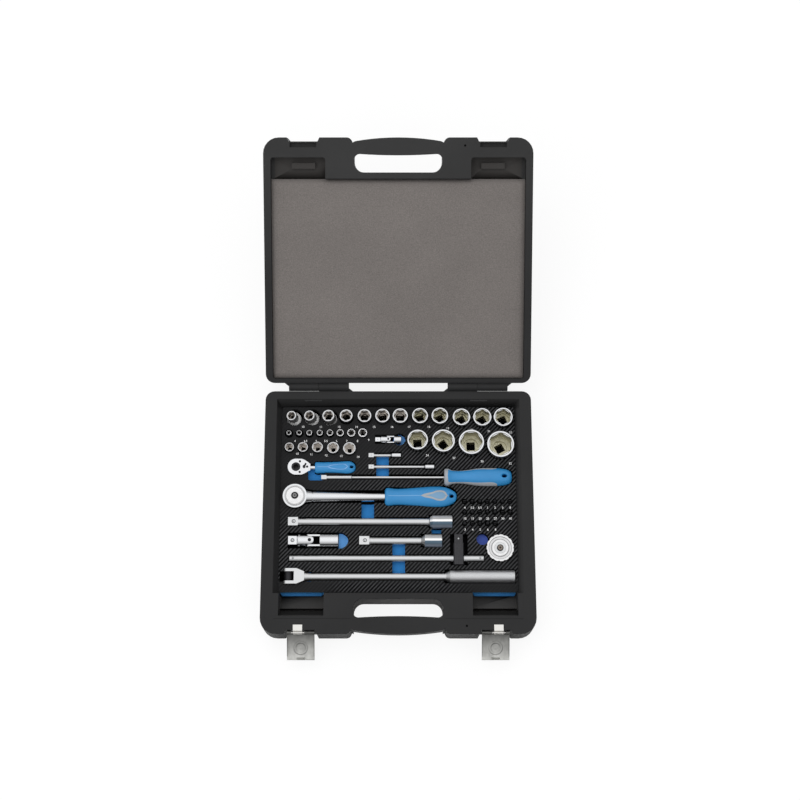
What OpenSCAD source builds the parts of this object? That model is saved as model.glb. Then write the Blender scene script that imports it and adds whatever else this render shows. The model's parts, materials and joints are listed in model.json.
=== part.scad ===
// Two-drive socket wrench set in a hinged carrying case, lid open.
// Frame: origin at the centre of the base's underside, +X right, +Y to the hinge, +Z up.

/* [Case] */
// Width of the case over its rim
case_w = 410; // [406:1:430]
// Depth of the case, front wall to back wall
case_l = 375; // [372:1:395]
// Height of the base, underside to rim
base_h = 52; // [50:1:60]
// Height of the lid, rim to top
lid_h = 38; // [34:1:50]
// Width of the base's side rims
side_rim = 18; // [14:0.5:18]
// Width of the base's back rim
back_rim = 12; // [10:0.5:12]
// Width of the lid's side rims
lid_rim = 11; // [8:0.5:14]
// Slope of the base's inner walls, rim to tray
wall_slope = 7; // [4:0.5:8]
// Thickness of the base's floor
floor_t = 4; // [3:0.5:5]
// Thickness of the lid's roof
roof_t = 3; // [2:0.5:4]
// Radius of the back corners
back_corner_r = 14; // [10:1:20]
// Radius of the front corners
front_corner_r = 24; // [18:1:28]
// Bevel along the outer top and bottom edges
edge_bevel = 4; // [2:0.5:6]
// Depth of the solid front plateau
plateau_l = 61; // [60:0.5:62]
// Width of the front plateau between the side pockets
plateau_w = 222; // [210:1:230]
// Gap between the closed halves
seam_gap = 0.3; // [0.2:0.1:0.5]

/* [Carrying handle] */
// Width of the finger hole
grip_w = 134; // [120:1:138]
// Depth of the finger hole
grip_gap = 28; // [26:0.5:30]
// Thickness of the grip bar in front of the hole
grip_bar = 24.5; // [22:0.5:26]
// Height of the grip bar in each half
grip_h = 20; // [16:0.5:26]
// How far the ends of the grip bar curve back
grip_sag = 5.5; // [3:0.5:7]

/* [Hinge] */
// Where each pair of knuckles meets, from the middle
hinge_x = 122.8; // [115:0.5:130]
// Length of one knuckle
knuckle_l = 46; // [38:1:50]
// Radius of the knuckles
knuckle_r = 6; // [5:0.5:6]
// Distance from the back wall to the hinge axis
hinge_off = 6.5; // [6.5:0.1:7.5]
// Radius of the hinge pins
pin_r = 2; // [1.5:0.25:2.5]
// How far the lid opens
open_angle = 155; // [120:1:160]

/* [Latches] */
// Distance of each latch from the middle
latch_x = 144.5; // [142:0.5:146]
// Width of a latch lever
latch_w = 41; // [34:1:42]
// Length of a latch lever
latch_l = 42; // [36:1:43]
// Thickness of the latch sheet metal
latch_t = 1.2; // [1:0.1:1.5]
// Radius of the latch rod
rod_r = 1.5; // [1:0.25:1.75]
// Height of the latch rod above the underside
rod_z = 45; // [43:0.5:46]
// How far a latch lever hangs open
latch_open = 112; // [95:1:120]
// Depth of the latch recess in the front wall
latch_recess = 6; // [5:0.5:7]

/* [Foam] */
// Height of the tray's top face above the underside
tray_z = 40; // [39:0.5:42]
// Thickness of the black top layer
skin_t = 11; // [10:0.5:12]
// Clearance between a tool and its pocket
pocket_gap = 0.6; // [0.4:0.1:0.8]
// Clearance between a tool and the floor of its pocket
seat_gap = 0.2; // [0.1:0.05:0.3]
// Depth of the lid pad's face inside the lid
pad_in = 6; // [5.5:0.5:10]

/* [Half-inch drive] */
// Width across the half-inch square
half_sq = 12.7; // [12.6:0.05:12.8]
// Diameter of the drive end of a small half-inch socket
half_end_d = 22; // [21:0.5:23]
// Height of a half-inch socket up to 22 mm
half_h = 38; // [36:1:40]
// Length of the long half-inch extension
ext_long_l = 249; // [240:1:249]
// Length of the short half-inch extension
ext_short_l = 125; // [118:1:126]
// Radius of the half-inch extension shafts
ext_r = 6; // [5:0.25:7]
// Length of the sliding T-bar
tbar_l = 294; // [285:1:296]
// Radius of the sliding T-bar
tbar_r = 5.25; // [4.5:0.25:6]
// Length of the breaker bar
breaker_l = 348; // [344:1:349]
// Radius of the breaker bar's handle
breaker_r = 10; // [9:0.5:11]

/* [Quarter-inch drive] */
// Width across the quarter-inch square
quarter_sq = 6.35; // [6.3:0.05:6.4]
// Diameter of the drive end of a small quarter-inch socket
quarter_end_d = 12; // [11:0.5:12.5]
// Height of a quarter-inch socket
quarter_h = 25; // [23:1:27]
// Length of the long quarter-inch extension
ext4_long_l = 101; // [95:1:104]
// Length of the short quarter-inch extension
ext4_short_l = 50; // [46:1:51]
// Width across the flats of a screwdriver bit
bit_af = 6.35; // [6:0.05:6.5]

/* [Hidden] */
$fn = 48;
eps = 0.01;
through = 200;          // longer than any cut goes
run = 0.05;             // radial clearance of a running fit
side_gap = 0.3;         // gap between faces that pass each other

front_y = -case_l / 2;
back_y = case_l / 2;
hinge_y = back_y + hinge_off;
lid_z = base_h + seam_gap;
top_z = base_h + lid_h;

// The tray's well in the base
well_x = case_w / 2 - side_rim - wall_slope;
back_slope = wall_slope + 3;
well_back = back_y - back_rim - back_slope;
well_front = front_y + plateau_l + 2.5;
blue_top = tray_z - skin_t;

// Tools: heights of the axes they lie on
axis_z = tray_z - 4;
tool_r = 10;            // radius of the fat ends of the half-inch bars
tool4_r = 4.6;          // radius of the fat ends of the quarter-inch bars
half_tang = 15;         // length of a half-inch square
quarter_tang = 8;       // length of a quarter-inch square

// [size, x, y, height, turn, lean in its wide pocket] of each half-inch socket
HALF = [[10, -164.9, 149, half_h, 0, 9], [11, -137.2, 149, half_h, 12, 9], [13, -107.9, 149, half_h, 0, 5],
    [14, -80.4, 149, half_h, 20, 0], [15, -52.1, 149, half_h, 0, 0], [16, -24.4, 149, half_h, 8, 0],
    [17, 3, 149, half_h, 0, 0], [18, 33.5, 149, half_h, 15, 0], [19, 64.1, 149, half_h, 24, 0],
    [20, 97.4, 147, half_h, 28, 0], [21, 129.5, 147, half_h, 28, 0], [22, 161.8, 147, half_h, 24, 0],
    [24, 29.7, 110.4, half_h + 2, 5, 0], [27, 69.1, 108.6, half_h + 4, 36, 0],
    [30, 112.1, 106.4, half_h + 5, 2, 0], [32, 156.8, 102.9, half_h + 6, 28, 0]];
// [size, x, y] of each quarter-inch socket
QUARTER_SMALL = [for (i = [0:7]) [[4, 4.5, 5, 5.5, 6, 7, 8, 9][i],
    [-168.4, -152.6, -136.9, -120.9, -105.2, -89.4, -72.4, -54.8][i], 122.8]];
QUARTER_LARGE = [[10, -167.2, 100], [11, -146.5, 100], [12, -124.1, 100], [13, -100.1, 99],
    [14, -75, 98]];
half_top = tray_z + 10;         // top of the half-inch sockets
function half_seat(s) = half_top - (s[3] + half_h) / 2;
quarter_top = tray_z + 6;       // top of the quarter-inch sockets
// Rows of bits: [count, y]
BIT_ROWS = [[7, 15.3], [7, -1.3], [5, -18.9]];
bit_x = 100.7;
bit_pitch = 11.5;
bit_top = tray_z + 6;
bit_h = 25;

ratchet_at = [-157.2, 23.2];    // half-inch ratchet: axis of its head
ratchet_r = 18.4;
ratchet_half_t = 11;            // half the thickness of its head
ratchet_grip_x = -20.4;
ratchet4_at = [-156.7, 69.5];   // quarter-inch ratchet
ratchet4_r = 12.6;
ratchet4_half_t = 7;
ratchet4_grip_x = -127.7;
spinner_y = 54;
spinner_x = -117.8;
spinner_grip_x = 70.2;
palm_at = [153.6, -56.7];
palm_r = 20.7;
palm_half_t = 8;
ext_long_at = [-167, -15.5];
ext_short_at = [-58.8, -44.9];
ext4_long_at = [-45.4, 70.6];
ext4_short_at = [-45.5, 88.8];
joint_at = [-166.2, -44.8];     // half-inch universal joint: end of its square
joint4_at = [-35.4, 113.8];
tbar_at = [-164.6, -71.8];
slider_x = 91;                  // middle of the T-bar's slider
slider_w = 15.6;
slider_room = [5, 6];           // how far the slider's pocket lets it slide
breaker_at = [-172, -99.5];
breaker_pin_x = breaker_at[0] + 7;
fork_r = 11.6;
// Universal joints: [radius, square, length of square, root, left prong, socket end, right prong]
JOINT_HALF = [10.7, half_sq, 13, 5, 14.4, 27.4, 15.6];
JOINT_QUARTER = [6.5, quarter_sq, 7.5, 3.5, 9, 10.6, 9];
joint_room = 1.6;               // side room of a universal joint in its pocket

// Grips: [distance from the front end, radius]
RATCHET_GRIP = [[0, 11], [3, 14], [14, 14.2], [32, 13.2], [52, 13.8], [76, 16], [92, 16.2],
    [103, 13.6], [109.6, 7]];
RATCHET4_GRIP = [[0, 7.4], [3, 8.8], [22, 8.8], [40, 9.4], [51, 10.2], [58, 8.8], [62.4, 4.8]];
SPINNER_GRIP = [[0, 12.6], [3, 14], [7, 13.8], [12, 11.4], [19, 10.2], [30, 10.8], [48, 13.4],
    [66, 14.4], [86, 14], [97, 12.4], [103.8, 8.4]];
grip_flat = 0.78;               // height of the ratchets' grips over their width
hang_r = 3;
gusset_l = 8;           // how far a knuckle's gusset runs along the wall

// ---------------------------------------------------------------- shared shapes

function arc(c, r, a0, a1, n = 6) =
    [for (i = [0:n]) c + r * [cos(a0 + (a1 - a0) * i / n), sin(a0 + (a1 - a0) * i / n)]];

module both_sides() {
    children();
    mirror([1, 0, 0]) children();
}

// Extrudes a (y, z) profile along X
module along_x(x, l) translate([x, 0, 0]) rotate([90, 0, 90]) linear_extrude(l) children();

module rod_x(at, l, r, z = axis_z) translate([at[0], at[1], z]) rotate([0, 90, 0]) cylinder(h = l, r = r);

module rod_y(at, l, r) translate(at) rotate([90, 0, 0]) cylinder(h = l, r = r, center = true);

module cone_x(at, l, r1, r2) translate([at[0], at[1], axis_z]) rotate([0, 90, 0])
    cylinder(h = l, r1 = r1, r2 = r2);

module square_x(at, l, side, z = axis_z) translate([at[0], at[1] - side / 2, z - side / 2])
    cube([l, side, side]);

module rounded_rect(x0, y0, x1, y1, r) translate([x0 + r, y0 + r])
    offset(r = r, $fn = 24) square([x1 - x0 - 2 * r, y1 - y0 - 2 * r]);

// The half of the case's outline to the right of the middle
module half_outline() {
    bar_x = grip_w / 2 - 2;
    bar_r = (pow(bar_x, 2) + pow(grip_sag, 2)) / (2 * grip_sag);
    shoulder_r = 8;
    recess = latch_w / 2 + 1.5;
    polygon(concat(
        [for (i = [0:5]) let (x = bar_x * i / 5) [x, front_y + bar_r - sqrt(bar_r * bar_r - x * x)]],
        arc([bar_x + 5 + shoulder_r, front_y + shoulder_r], shoulder_r, 180, 270),
        [[latch_x - recess - 3, front_y], [latch_x - recess, front_y + latch_recess],
         [latch_x + recess, front_y + latch_recess], [latch_x + recess + 3, front_y]],
        arc([case_w / 2 - front_corner_r, front_y + front_corner_r], front_corner_r, 270, 360),
        arc([case_w / 2 - back_corner_r, back_y - back_corner_r], back_corner_r, 0, 90),
        [[0, back_y]]));
}

module outline() both_sides() half_outline();

// Outline of the finger hole
module grip_hole() {
    x = grip_w / 2;
    y0 = front_y + grip_bar;
    y1 = y0 + grip_gap;
    bulge = 2;
    both_sides() polygon(concat(
        [for (i = [0:4]) [(x - 8) * i / 4, y0 + bulge * (1 - pow(i / 4, 2))]],
        arc([x - 8, y0 + 8], 8, 270, 360), arc([x - 15, y1 - 15], 15, 0, 90), [[0, y1]]));
}

// One half of the case as a solid block: a bevelled outline from the rim at z = 0 to the back at z = h
module half_block(h) {
    linear_extrude(h - edge_bevel) outline();
    translate([0, 0, h - edge_bevel])
        linear_extrude(edge_bevel, slices = 1,
            scale = [1 - 2 * edge_bevel / case_w, 1 - 2 * edge_bevel / case_l]) outline();
}

// The finger hole, and the room for the hand behind the grip bar
module grip_cut(h) {
    y0 = front_y + grip_bar;
    translate([0, 0, -1]) linear_extrude(h + 2) grip_hole();
    translate([-grip_w / 2, front_y - 1, grip_h]) cube([grip_w, grip_bar + 9, h]);
    along_x(-grip_w / 2, grip_w) polygon([[front_y - 1, grip_h - 5], [front_y + 6, grip_h + eps],
        [front_y - 1, grip_h + eps]]);
}

// ---------------------------------------------------------------- case

module knuckle_bore() rod_x([hinge_x - knuckle_l - 1, hinge_y], 2 * knuckle_l + 2, pin_r + run, base_h);

module base_knuckle() along_x(hinge_x - knuckle_l, knuckle_l - side_gap / 2) {
    translate([hinge_y, base_h]) circle(knuckle_r);
    polygon([[back_y - 1, base_h - 14], [back_y - 1, base_h - 0.5], [hinge_y, base_h - 0.5],
        [hinge_y, base_h - knuckle_r + 0.5]]);
    // the stop that the open lid leans on
    translate([hinge_y, base_h]) rotate(180 - open_angle) translate([-3, -15])
        square([3 + hinge_off - side_gap, 15]);
}

// Gusset that widens the root of a knuckle, from its end face at x
module knuckle_gusset(x, way) linear_extrude(11)
    polygon([[x - way * eps, back_y - 1], [x + way * gusset_l, back_y - 1], [x - way * eps, hinge_y - 1]]);

module base_side_pocket() {
    x0 = plateau_w / 2;
    along_x(x0, well_x - 2 - x0) polygon([
        [front_y + 27, base_h + 1], [front_y + 27, base_h - 6], [front_y + 34, base_h - 6],
        [front_y + 34, floor_t + 4], [front_y + 42, floor_t + 4], [front_y + 42, floor_t + 20],
        [well_front + eps, floor_t + 12], [well_front + eps, base_h + 1]]);
}

module case_base() color("#3a3a3a") difference() {
    union() {
        translate([0, 0, base_h]) mirror([0, 0, 1]) half_block(base_h);
        both_sides() base_knuckle();
        both_sides() translate([0, 0, base_h - 11.5]) knuckle_gusset(hinge_x - knuckle_l, -1);
    }
    // the well that the tray lies in, with sloping walls above it
    translate([0, 0, floor_t]) linear_extrude(base_h) rounded_rect(-well_x, well_front, well_x, well_back, 4);
    intersection() {
        along_x(-through - 20, 2 * through + 40) polygon([[well_front, tray_z], [well_front - 2.5, base_h],
            [well_front - 2.5, base_h + 1], [well_back + back_slope, base_h + 1],
            [well_back + back_slope, base_h], [well_back, tray_z]]);
        translate([0, through, 0]) rotate([90, 0, 0]) linear_extrude(2 * through) polygon([
            [-well_x, tray_z - eps], [-well_x - wall_slope, base_h], [-well_x - wall_slope, base_h + 1],
            [well_x + wall_slope, base_h + 1], [well_x + wall_slope, base_h], [well_x, tray_z - eps]]);
    }
    both_sides() base_side_pocket();
    translate([0, 0, base_h]) mirror([0, 0, 1]) grip_cut(base_h);
    both_sides() knuckle_bore();
    // seats for the latch straps
    both_sides() translate([strap_x - strap_w / 2 - side_gap, front_y + latch_recess - 1, base_h - latch_t])
        cube([strap_w + 2 * side_gap, strap_l + 1 + side_gap, 5]);
    // stiffening grooves across the underside
    for (i = [-1:1]) translate([-case_w / 2 + 40, i * 85 - 4, -1]) cube([case_w - 80, 8, 2]);
}

module lid_open() translate([0, hinge_y, base_h]) rotate([-open_angle, 0, 0])
    translate([0, -hinge_y, -base_h]) children();

lid_well_x = case_w / 2 - lid_rim;
lid_well_back = back_y - 7;
lid_well_front = front_y + plateau_l + 1;
lid_pocket_front = front_y + 30;

module lid_knuckle() along_x(hinge_x + side_gap / 2, knuckle_l) {
    translate([hinge_y, base_h]) circle(knuckle_r);
    polygon([[back_y - 1, lid_z + 0.2], [back_y - 1, base_h + 16], [hinge_y, base_h + knuckle_r - 0.5],
        [hinge_y, lid_z + 0.2]]);
}

module case_lid() color("#3a3a3a") lid_open() difference() {
    union() {
        translate([0, 0, lid_z]) half_block(lid_h - seam_gap);
        both_sides() lid_knuckle();
        both_sides() translate([0, 0, lid_z + 0.2]) knuckle_gusset(hinge_x + side_gap / 2 + knuckle_l, 1);
    }
    translate([0, 0, lid_z - 1]) linear_extrude(lid_h - seam_gap - roof_t + 1)
        rounded_rect(-lid_well_x, lid_well_front, lid_well_x, lid_well_back, 4);
    // shallow side pockets in front of the pad, each with a low rib
    both_sides() difference() {
        translate([0, 0, lid_z - 1]) linear_extrude(17)
            rounded_rect(plateau_w / 2, lid_pocket_front, lid_well_x, lid_well_front + 10, 4);
        translate([latch_x - 18, lid_pocket_front + 8, lid_z + 10]) cube([36, 9, 8]);
    }
    translate([0, 0, lid_z]) grip_cut(lid_h);
    both_sides() knuckle_bore();
    // slot in the rim behind each latch, and the groove that its hook drops into
    both_sides() translate([latch_x - 20, front_y + latch_recess + 2, lid_z - 1]) cube([40, 6.5, 7]);
    both_sides() translate([latch_x - hook_w / 2 - 1, front_y, rod_z + hook_up - 1.4])
        cube([hook_w + 2, latch_recess + hook_in + 0.6, latch_t + 3.2]);
    // stiffening grooves across the lid's top
    for (i = [-1:1]) translate([-case_w / 2 + 40, i * 85 - 4, top_z - 1]) cube([case_w - 80, 8, 2]);
}

module hinge_pins() color("#b8b8b8") both_sides()
    rod_x([hinge_x - knuckle_l + 0.5, hinge_y], 2 * knuckle_l - 1, pin_r, base_h);

// ---------------------------------------------------------------- latches

strap_w = 14;
strap_l = 8;
strap_off = 4.3;        // how far the strap sits outward of its lever's middle
strap_x = latch_x + strap_off;
curl_r = rod_r + run + latch_t;
rod_y0 = front_y + latch_recess - curl_r - 0.1;
hook_w = 12;
hook_in = 2.4;          // how far the hook reaches behind the lid's recess
hook_up = 38;           // height of the hook above the rod

// Strap over the rim, curled round the rod
module latch_bracket() {
    wall_y = front_y + latch_recess;
    rod_x([latch_x - latch_w / 2 + 2, rod_y0], latch_w - 4, rod_r, rod_z);
    difference() {
        union() {
            translate([strap_x - strap_w / 2, wall_y - latch_t, base_h - latch_t])
                cube([strap_w, strap_l + latch_t, latch_t]);
            translate([strap_x - strap_w / 2, wall_y - latch_t, rod_z]) cube([strap_w, latch_t - 0.1, base_h - rod_z]);
            rod_x([strap_x - strap_w / 2, rod_y0], strap_w, curl_r, rod_z);
        }
        rod_x([strap_x - strap_w / 2 - 1, rod_y0], strap_w + 2, rod_r + run, rod_z);
    }
}

module latch_brackets() color("#cfccc6") both_sides() latch_bracket();

// The lever as it stands when it is shut: a plate with side flanges, two curls round the rod,
// a finger lip at its end and a hook on its inner face
module latch_lever_shut() {
    w = latch_w / 2;
    plate_y = rod_y0 - curl_r;
    difference() {
        union() {
            translate([-w, plate_y, rod_z + curl_r + side_gap]) cube([2 * w, latch_t, latch_l - curl_r - side_gap]);
            for (s = [-1, 1]) {
                curl_l = w - s * strap_off - strap_w / 2 - 3;
                rod_x([s * (w - curl_l / 2) - curl_l / 2, rod_y0], curl_l, curl_r, rod_z);
                translate([s * (w - curl_l / 2) - curl_l / 2, plate_y, rod_z])
                    cube([curl_l, latch_t, curl_r + side_gap + eps]);
                translate([s * (w - latch_t / 2) - latch_t / 2, plate_y, rod_z + 8])
                    cube([latch_t, 2.4, latch_l - 14]);
            }
            translate([0, plate_y + latch_t, rod_z + latch_l]) rotate([45, 0, 0]) translate([-w, -3.6, -latch_t])
                cube([2 * w, 3.6, latch_t]);
            translate([-hook_w / 2, plate_y + eps, rod_z + hook_up])
                cube([hook_w, front_y + latch_recess + hook_in - plate_y, latch_t]);
        }
        rod_x([-w - 1, rod_y0], 2 * w + 2, rod_r + run, rod_z);
        // pressed window that stiffens the plate
        translate([-w + 6, plate_y - eps, rod_z + 9]) cube([2 * w - 12, 0.4, latch_l - 18]);
    }
}

module latch_lever() translate([latch_x, rod_y0, rod_z]) rotate([latch_open, 0, 0])
    translate([0, -rod_y0, -rod_z]) latch_lever_shut();

module latch_lever_left() color("#cfccc6") mirror([1, 0, 0]) latch_lever();
module latch_lever_right() color("#cfccc6") latch_lever();

// ---------------------------------------------------------------- foam

// The lid's pad, with a bevel along its front edge
module lid_foam() color("#78726e") lid_open() difference() {
    z0 = lid_z + pad_in;
    x = lid_well_x - side_gap;
    y = lid_well_front + side_gap;
    translate([0, 0, z0]) linear_extrude(top_z - roof_t - z0)
        rounded_rect(-x, y, x, lid_well_back - side_gap, 4);
    along_x(-through - 20, 2 * through + 40) polygon([[y - 1, z0 - 1], [y + 6, z0 - 1], [y - 1, z0 + 6]]);
}

// Room for a bar along X, from x0 to x1
module pocket_x(x0, x1, y, r, side = pocket_gap) translate([x0 - pocket_gap, y - r - side, axis_z - r - seat_gap])
    cube([x1 - x0 + 2 * pocket_gap, 2 * (r + side), through]);

module pocket_round(at, r, z) translate([at[0], at[1], z]) cylinder(h = through, r = r);

module pocket_grip(x, y, profile, flat) translate([x, y, axis_z - flat * max([for (p = profile) p[1]]) - seat_gap])
    linear_extrude(through) offset(delta = pocket_gap) grip_plan(profile);

module grip_plan(profile) polygon(concat(profile,
    [for (i = [len(profile) - 1:-1:0]) [profile[i][0], -profile[i][1]]]));

module socket_pockets() {
    for (s = HALF) pocket_round([s[1] + sin(s[5]) * s[3] * 0.78, s[2]],
        max(open_d(s[0]), half_end_d) / 2 + pocket_gap + sin(s[5]) * s[3] * 0.225,
        half_seat(s) - seat_gap - sin(s[5]) * 9);
    for (s = concat(QUARTER_SMALL, QUARTER_LARGE))
        pocket_round([s[1], s[2]], max(open4_d(s[0]), quarter_end_d) / 2 + pocket_gap,
            quarter_top - quarter_h - seat_gap);
    for (r = BIT_ROWS) for (i = [0:r[0] - 1])
        pocket_round([bit_x + i * bit_pitch, r[1]], bit_af / sqrt(3) + pocket_gap, bit_top - bit_h - seat_gap);
}

module extension_pocket(at, l, sq, shaft_r, end_r, end_l) {
    pocket_x(at[0], at[0] + l - end_l, at[1], max(sq / 2, shaft_r));
    pocket_x(at[0] + l - end_l - 1.4 * (end_r - shaft_r), at[0] + l, at[1], end_r);
}

module bar_pockets() {
    extension_pocket(ext_long_at, ext_long_l, half_sq, ext_r, tool_r, long_end);
    extension_pocket(ext_short_at, ext_short_l, half_sq, ext_r, tool_r, short_end);
    extension_pocket(ext4_long_at, ext4_long_l, quarter_sq, ext4_r, tool4_r, ext4_end);
    extension_pocket(ext4_short_at, ext4_short_l, quarter_sq, ext4_r, tool4_r, ext4_end);
    pocket_x(joint_at[0], joint_at[0] + joint_l(JOINT_HALF), joint_at[1], JOINT_HALF[0], joint_room);
    pocket_x(joint4_at[0], joint4_at[0] + joint_l(JOINT_QUARTER), joint4_at[1], JOINT_QUARTER[0], 1);
    // T-bar with room for its slider, and breaker bar with room for its swinging head
    pocket_x(tbar_at[0], tbar_at[0] + tbar_l, tbar_at[1], tbar_r);
    translate([slider_x - slider_w / 2 - slider_room[0], tbar_at[1] - 10.2 - pocket_gap, axis_z - 9 - seat_gap])
        cube([slider_w + slider_room[0] + slider_room[1], 10.2 + 36.1 + 2 * pocket_gap, through]);
    translate([0, 0, axis_z - 9 - seat_gap]) linear_extrude(through) offset(delta = pocket_gap) fork_plan();
    pocket_x(breaker_at[0] + 20, breaker_at[0] + 41, breaker_at[1], breaker_shaft_r + 1.5);
    pocket_x(breaker_at[0] + 40, breaker_at[0] + breaker_l - breaker_handle_l - 8, breaker_at[1], breaker_shaft_r);
    pocket_x(breaker_at[0] + breaker_l - breaker_handle_l - 8, breaker_at[0] + breaker_l, breaker_at[1], breaker_r);
    translate([breaker_pin_x - 13, breaker_at[1] - 8, axis_z - breaker_reach - 1.4]) cube([27, 16, through]);
}

module ratchet_pockets() {
    pocket_round(ratchet_at, ratchet_r + pocket_gap, axis_z - ratchet_half_t - seat_gap);
    pocket_round(ratchet_at, half_sq * 0.71 + 1, axis_z - ratchet_half_t - half_tang - 1);
    translate([ratchet_at[0], ratchet_at[1], axis_z - ratchet_half_t - seat_gap]) linear_extrude(through)
        polygon([[0, -15], [19, -11.8], [28, -10.2], [28, 10.2], [19, 11.8], [0, 15]]);
    pocket_x(ratchet_at[0], ratchet_grip_x, ratchet_at[1], 9.4);
    pocket_grip(ratchet_grip_x, ratchet_at[1], RATCHET_GRIP, grip_flat);
    translate([0, 0, axis_z - ratchet4_half_t - seat_gap]) linear_extrude(through)
        offset(delta = pocket_gap) ratchet4_plan();
    pocket_round(ratchet4_at, quarter_sq * 0.71 + 1, axis_z - ratchet4_half_t - quarter_tang - 1);
    pocket_grip(ratchet4_grip_x, ratchet4_at[1], RATCHET4_GRIP, grip_flat);
    pocket_x(spinner_x, spinner_grip_x, spinner_y, 3.6);
    pocket_grip(spinner_grip_x, spinner_y, SPINNER_GRIP, 1);
    pocket_round(palm_at, palm_r + pocket_gap, axis_z - palm_half_t - seat_gap);
    pocket_round(palm_at, quarter_sq * 0.71 + 1, axis_z - palm_half_t - quarter_tang - 1);
}

// Cut-outs for the fingers, down into the blue layer
module finger_pockets() {
    z = blue_top - 0.4;
    slots = [[-33.7, ext4_short_at[1], -14.6, spinner_y], [-55.9, ratchet_at[1], -36.8, ext_long_at[1]],
        [-8.7, ext_short_at[1], 10.2, breaker_at[1]],
        [50.6, ext_long_at[1], 65.1, ext_long_at[1] - 18.5]];
    for (s = slots) translate([s[0], s[3], z]) cube([s[2] - s[0], s[1] - s[3], through]);
    pocket_round([joint4_at[0] + 36.9, joint4_at[1]], 9.5, z);
    translate([0, 0, z]) linear_extrude(through)
        rounded_rect(spinner_x - 20.5, spinner_y - 5.5, spinner_x + 6, spinner_y + 12, 5);
    pocket_round([joint_at[0] + joint_l(JOINT_HALF) + 2.7, joint_at[1]], 12.3, z);
    pocket_round([palm_at[0] - 26.5, palm_at[1] + 14.2], 9, z);
}

module tray_layer(z0, z1) difference() {
    translate([0, 0, z0]) linear_extrude(z1 - z0) rounded_rect(-well_x + side_gap, well_front + side_gap,
        well_x - side_gap, well_back - side_gap, 4);
    socket_pockets();
    bar_pockets();
    ratchet_pockets();
    finger_pockets();
}

module tray_top() color("#26262a") tray_layer(blue_top, tray_z);

// The blue layer shows in the side pockets as a narrow shelf
module tray_base() color("#2a72b8") {
    tray_layer(floor_t, blue_top);
    both_sides() translate([0, 0, blue_top - 6]) linear_extrude(6) polygon([
        [plateau_w / 2 + 1, well_front + side_gap], [plateau_w / 2 + 4, well_front - 3],
        [well_x - 6, well_front - 3], [well_x - 3, well_front + side_gap]]);
}

// ---------------------------------------------------------------- sockets

function open_d(size) = 1.19 * size + 3.6;
function open4_d(size) = 1.25 * size + 2.2;

// Six-point socket standing on its drive end at z = 0
module socket(size, h, open_d, end_d, sq, tang) {
    end_h = h * 0.45;
    step = min(3, abs(open_d - end_d) / 2 + 0.3);
    hex_h = min(h - tang - 2, max(h * 0.4, size * 0.75));
    low_d = min(end_d, open_d * 1.6);
    difference() {
        union() {
            cylinder(h = 0.6, d1 = low_d - 1.2, d2 = low_d);
            translate([0, 0, 0.6]) cylinder(h = end_h - 0.6, d = low_d);
            translate([0, 0, end_h]) cylinder(h = step, d1 = low_d, d2 = open_d);
            translate([0, 0, end_h + step]) cylinder(h = h - end_h - step - 0.6, d = open_d);
            translate([0, 0, h - 0.6]) cylinder(h = 0.6, d1 = open_d, d2 = open_d - 1.2);
        }
        translate([-sq / 2, -sq / 2, -1]) cube([sq, sq, tang + 2]);
        translate([0, 0, tang]) cylinder(h = h, d = min(size * 0.94, sq * 1.7));
        translate([0, 0, h - hex_h]) cylinder(h = h, d = size / cos(30), $fn = 6);
        translate([0, 0, h - 0.8]) cylinder(h = 0.9, d1 = size * 1.08, d2 = size * 1.08 + 1.8);
    }
}

module socket_half(i) {
    s = HALF[i];
    color("#d9dadb") translate([s[1], s[2], half_seat(s) + s[3]]) rotate([0, -s[5], 0]) rotate(s[4])
        translate([0, 0, -s[3]]) socket(s[0], s[3], open_d(s[0]), max(half_end_d, open_d(s[0]) - 3), half_sq + 0.2, half_tang);
}

module quarter_sockets(row) color("#d9dadb") for (s = row)
    translate([s[1], s[2], quarter_top - quarter_h]) rotate(s[0] * 7)
        socket(s[0], quarter_h, open4_d(s[0]), quarter_end_d, quarter_sq + 0.1, quarter_tang + 1);

module sockets_quarter_small() quarter_sockets(QUARTER_SMALL);
module sockets_quarter_large() quarter_sockets(QUARTER_LARGE);

// Insert bits, standing tip up: slotted, cross and hexagon tips by turns
module bit(kind) {
    shank = bit_h - 8;
    cylinder(h = shank, d = bit_af / cos(30), $fn = 6);
    translate([0, 0, shank]) cylinder(h = 2, d1 = bit_af, d2 = 4.6);
    if (kind == 0) translate([-2.3, -0.6, shank + 2]) cube([4.6, 1.2, 6]);
    if (kind == 1) for (a = [0, 90]) rotate(a) translate([-2, -0.6, shank + 2]) cube([4, 1.2, 6]);
    if (kind == 2) translate([0, 0, shank + 2]) cylinder(h = 6, d = 4.4, $fn = 6);
}

module screwdriver_bits() color("#1c1c1e") for (j = [0:2]) for (i = [0:BIT_ROWS[j][0] - 1])
    translate([bit_x + i * bit_pitch, BIT_ROWS[j][1], bit_top - bit_h]) bit((i + j) % 3);

// ---------------------------------------------------------------- half-inch ratchet

gear_r = 12;
cavity_r = 13.2;
neck_r = 9.1;
spindle_r = 5;
button_r = 3.4;
tang_r = 5;
tang_l = 40;

module at_head() translate([ratchet_at[0], ratchet_at[1], axis_z]) children();

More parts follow.
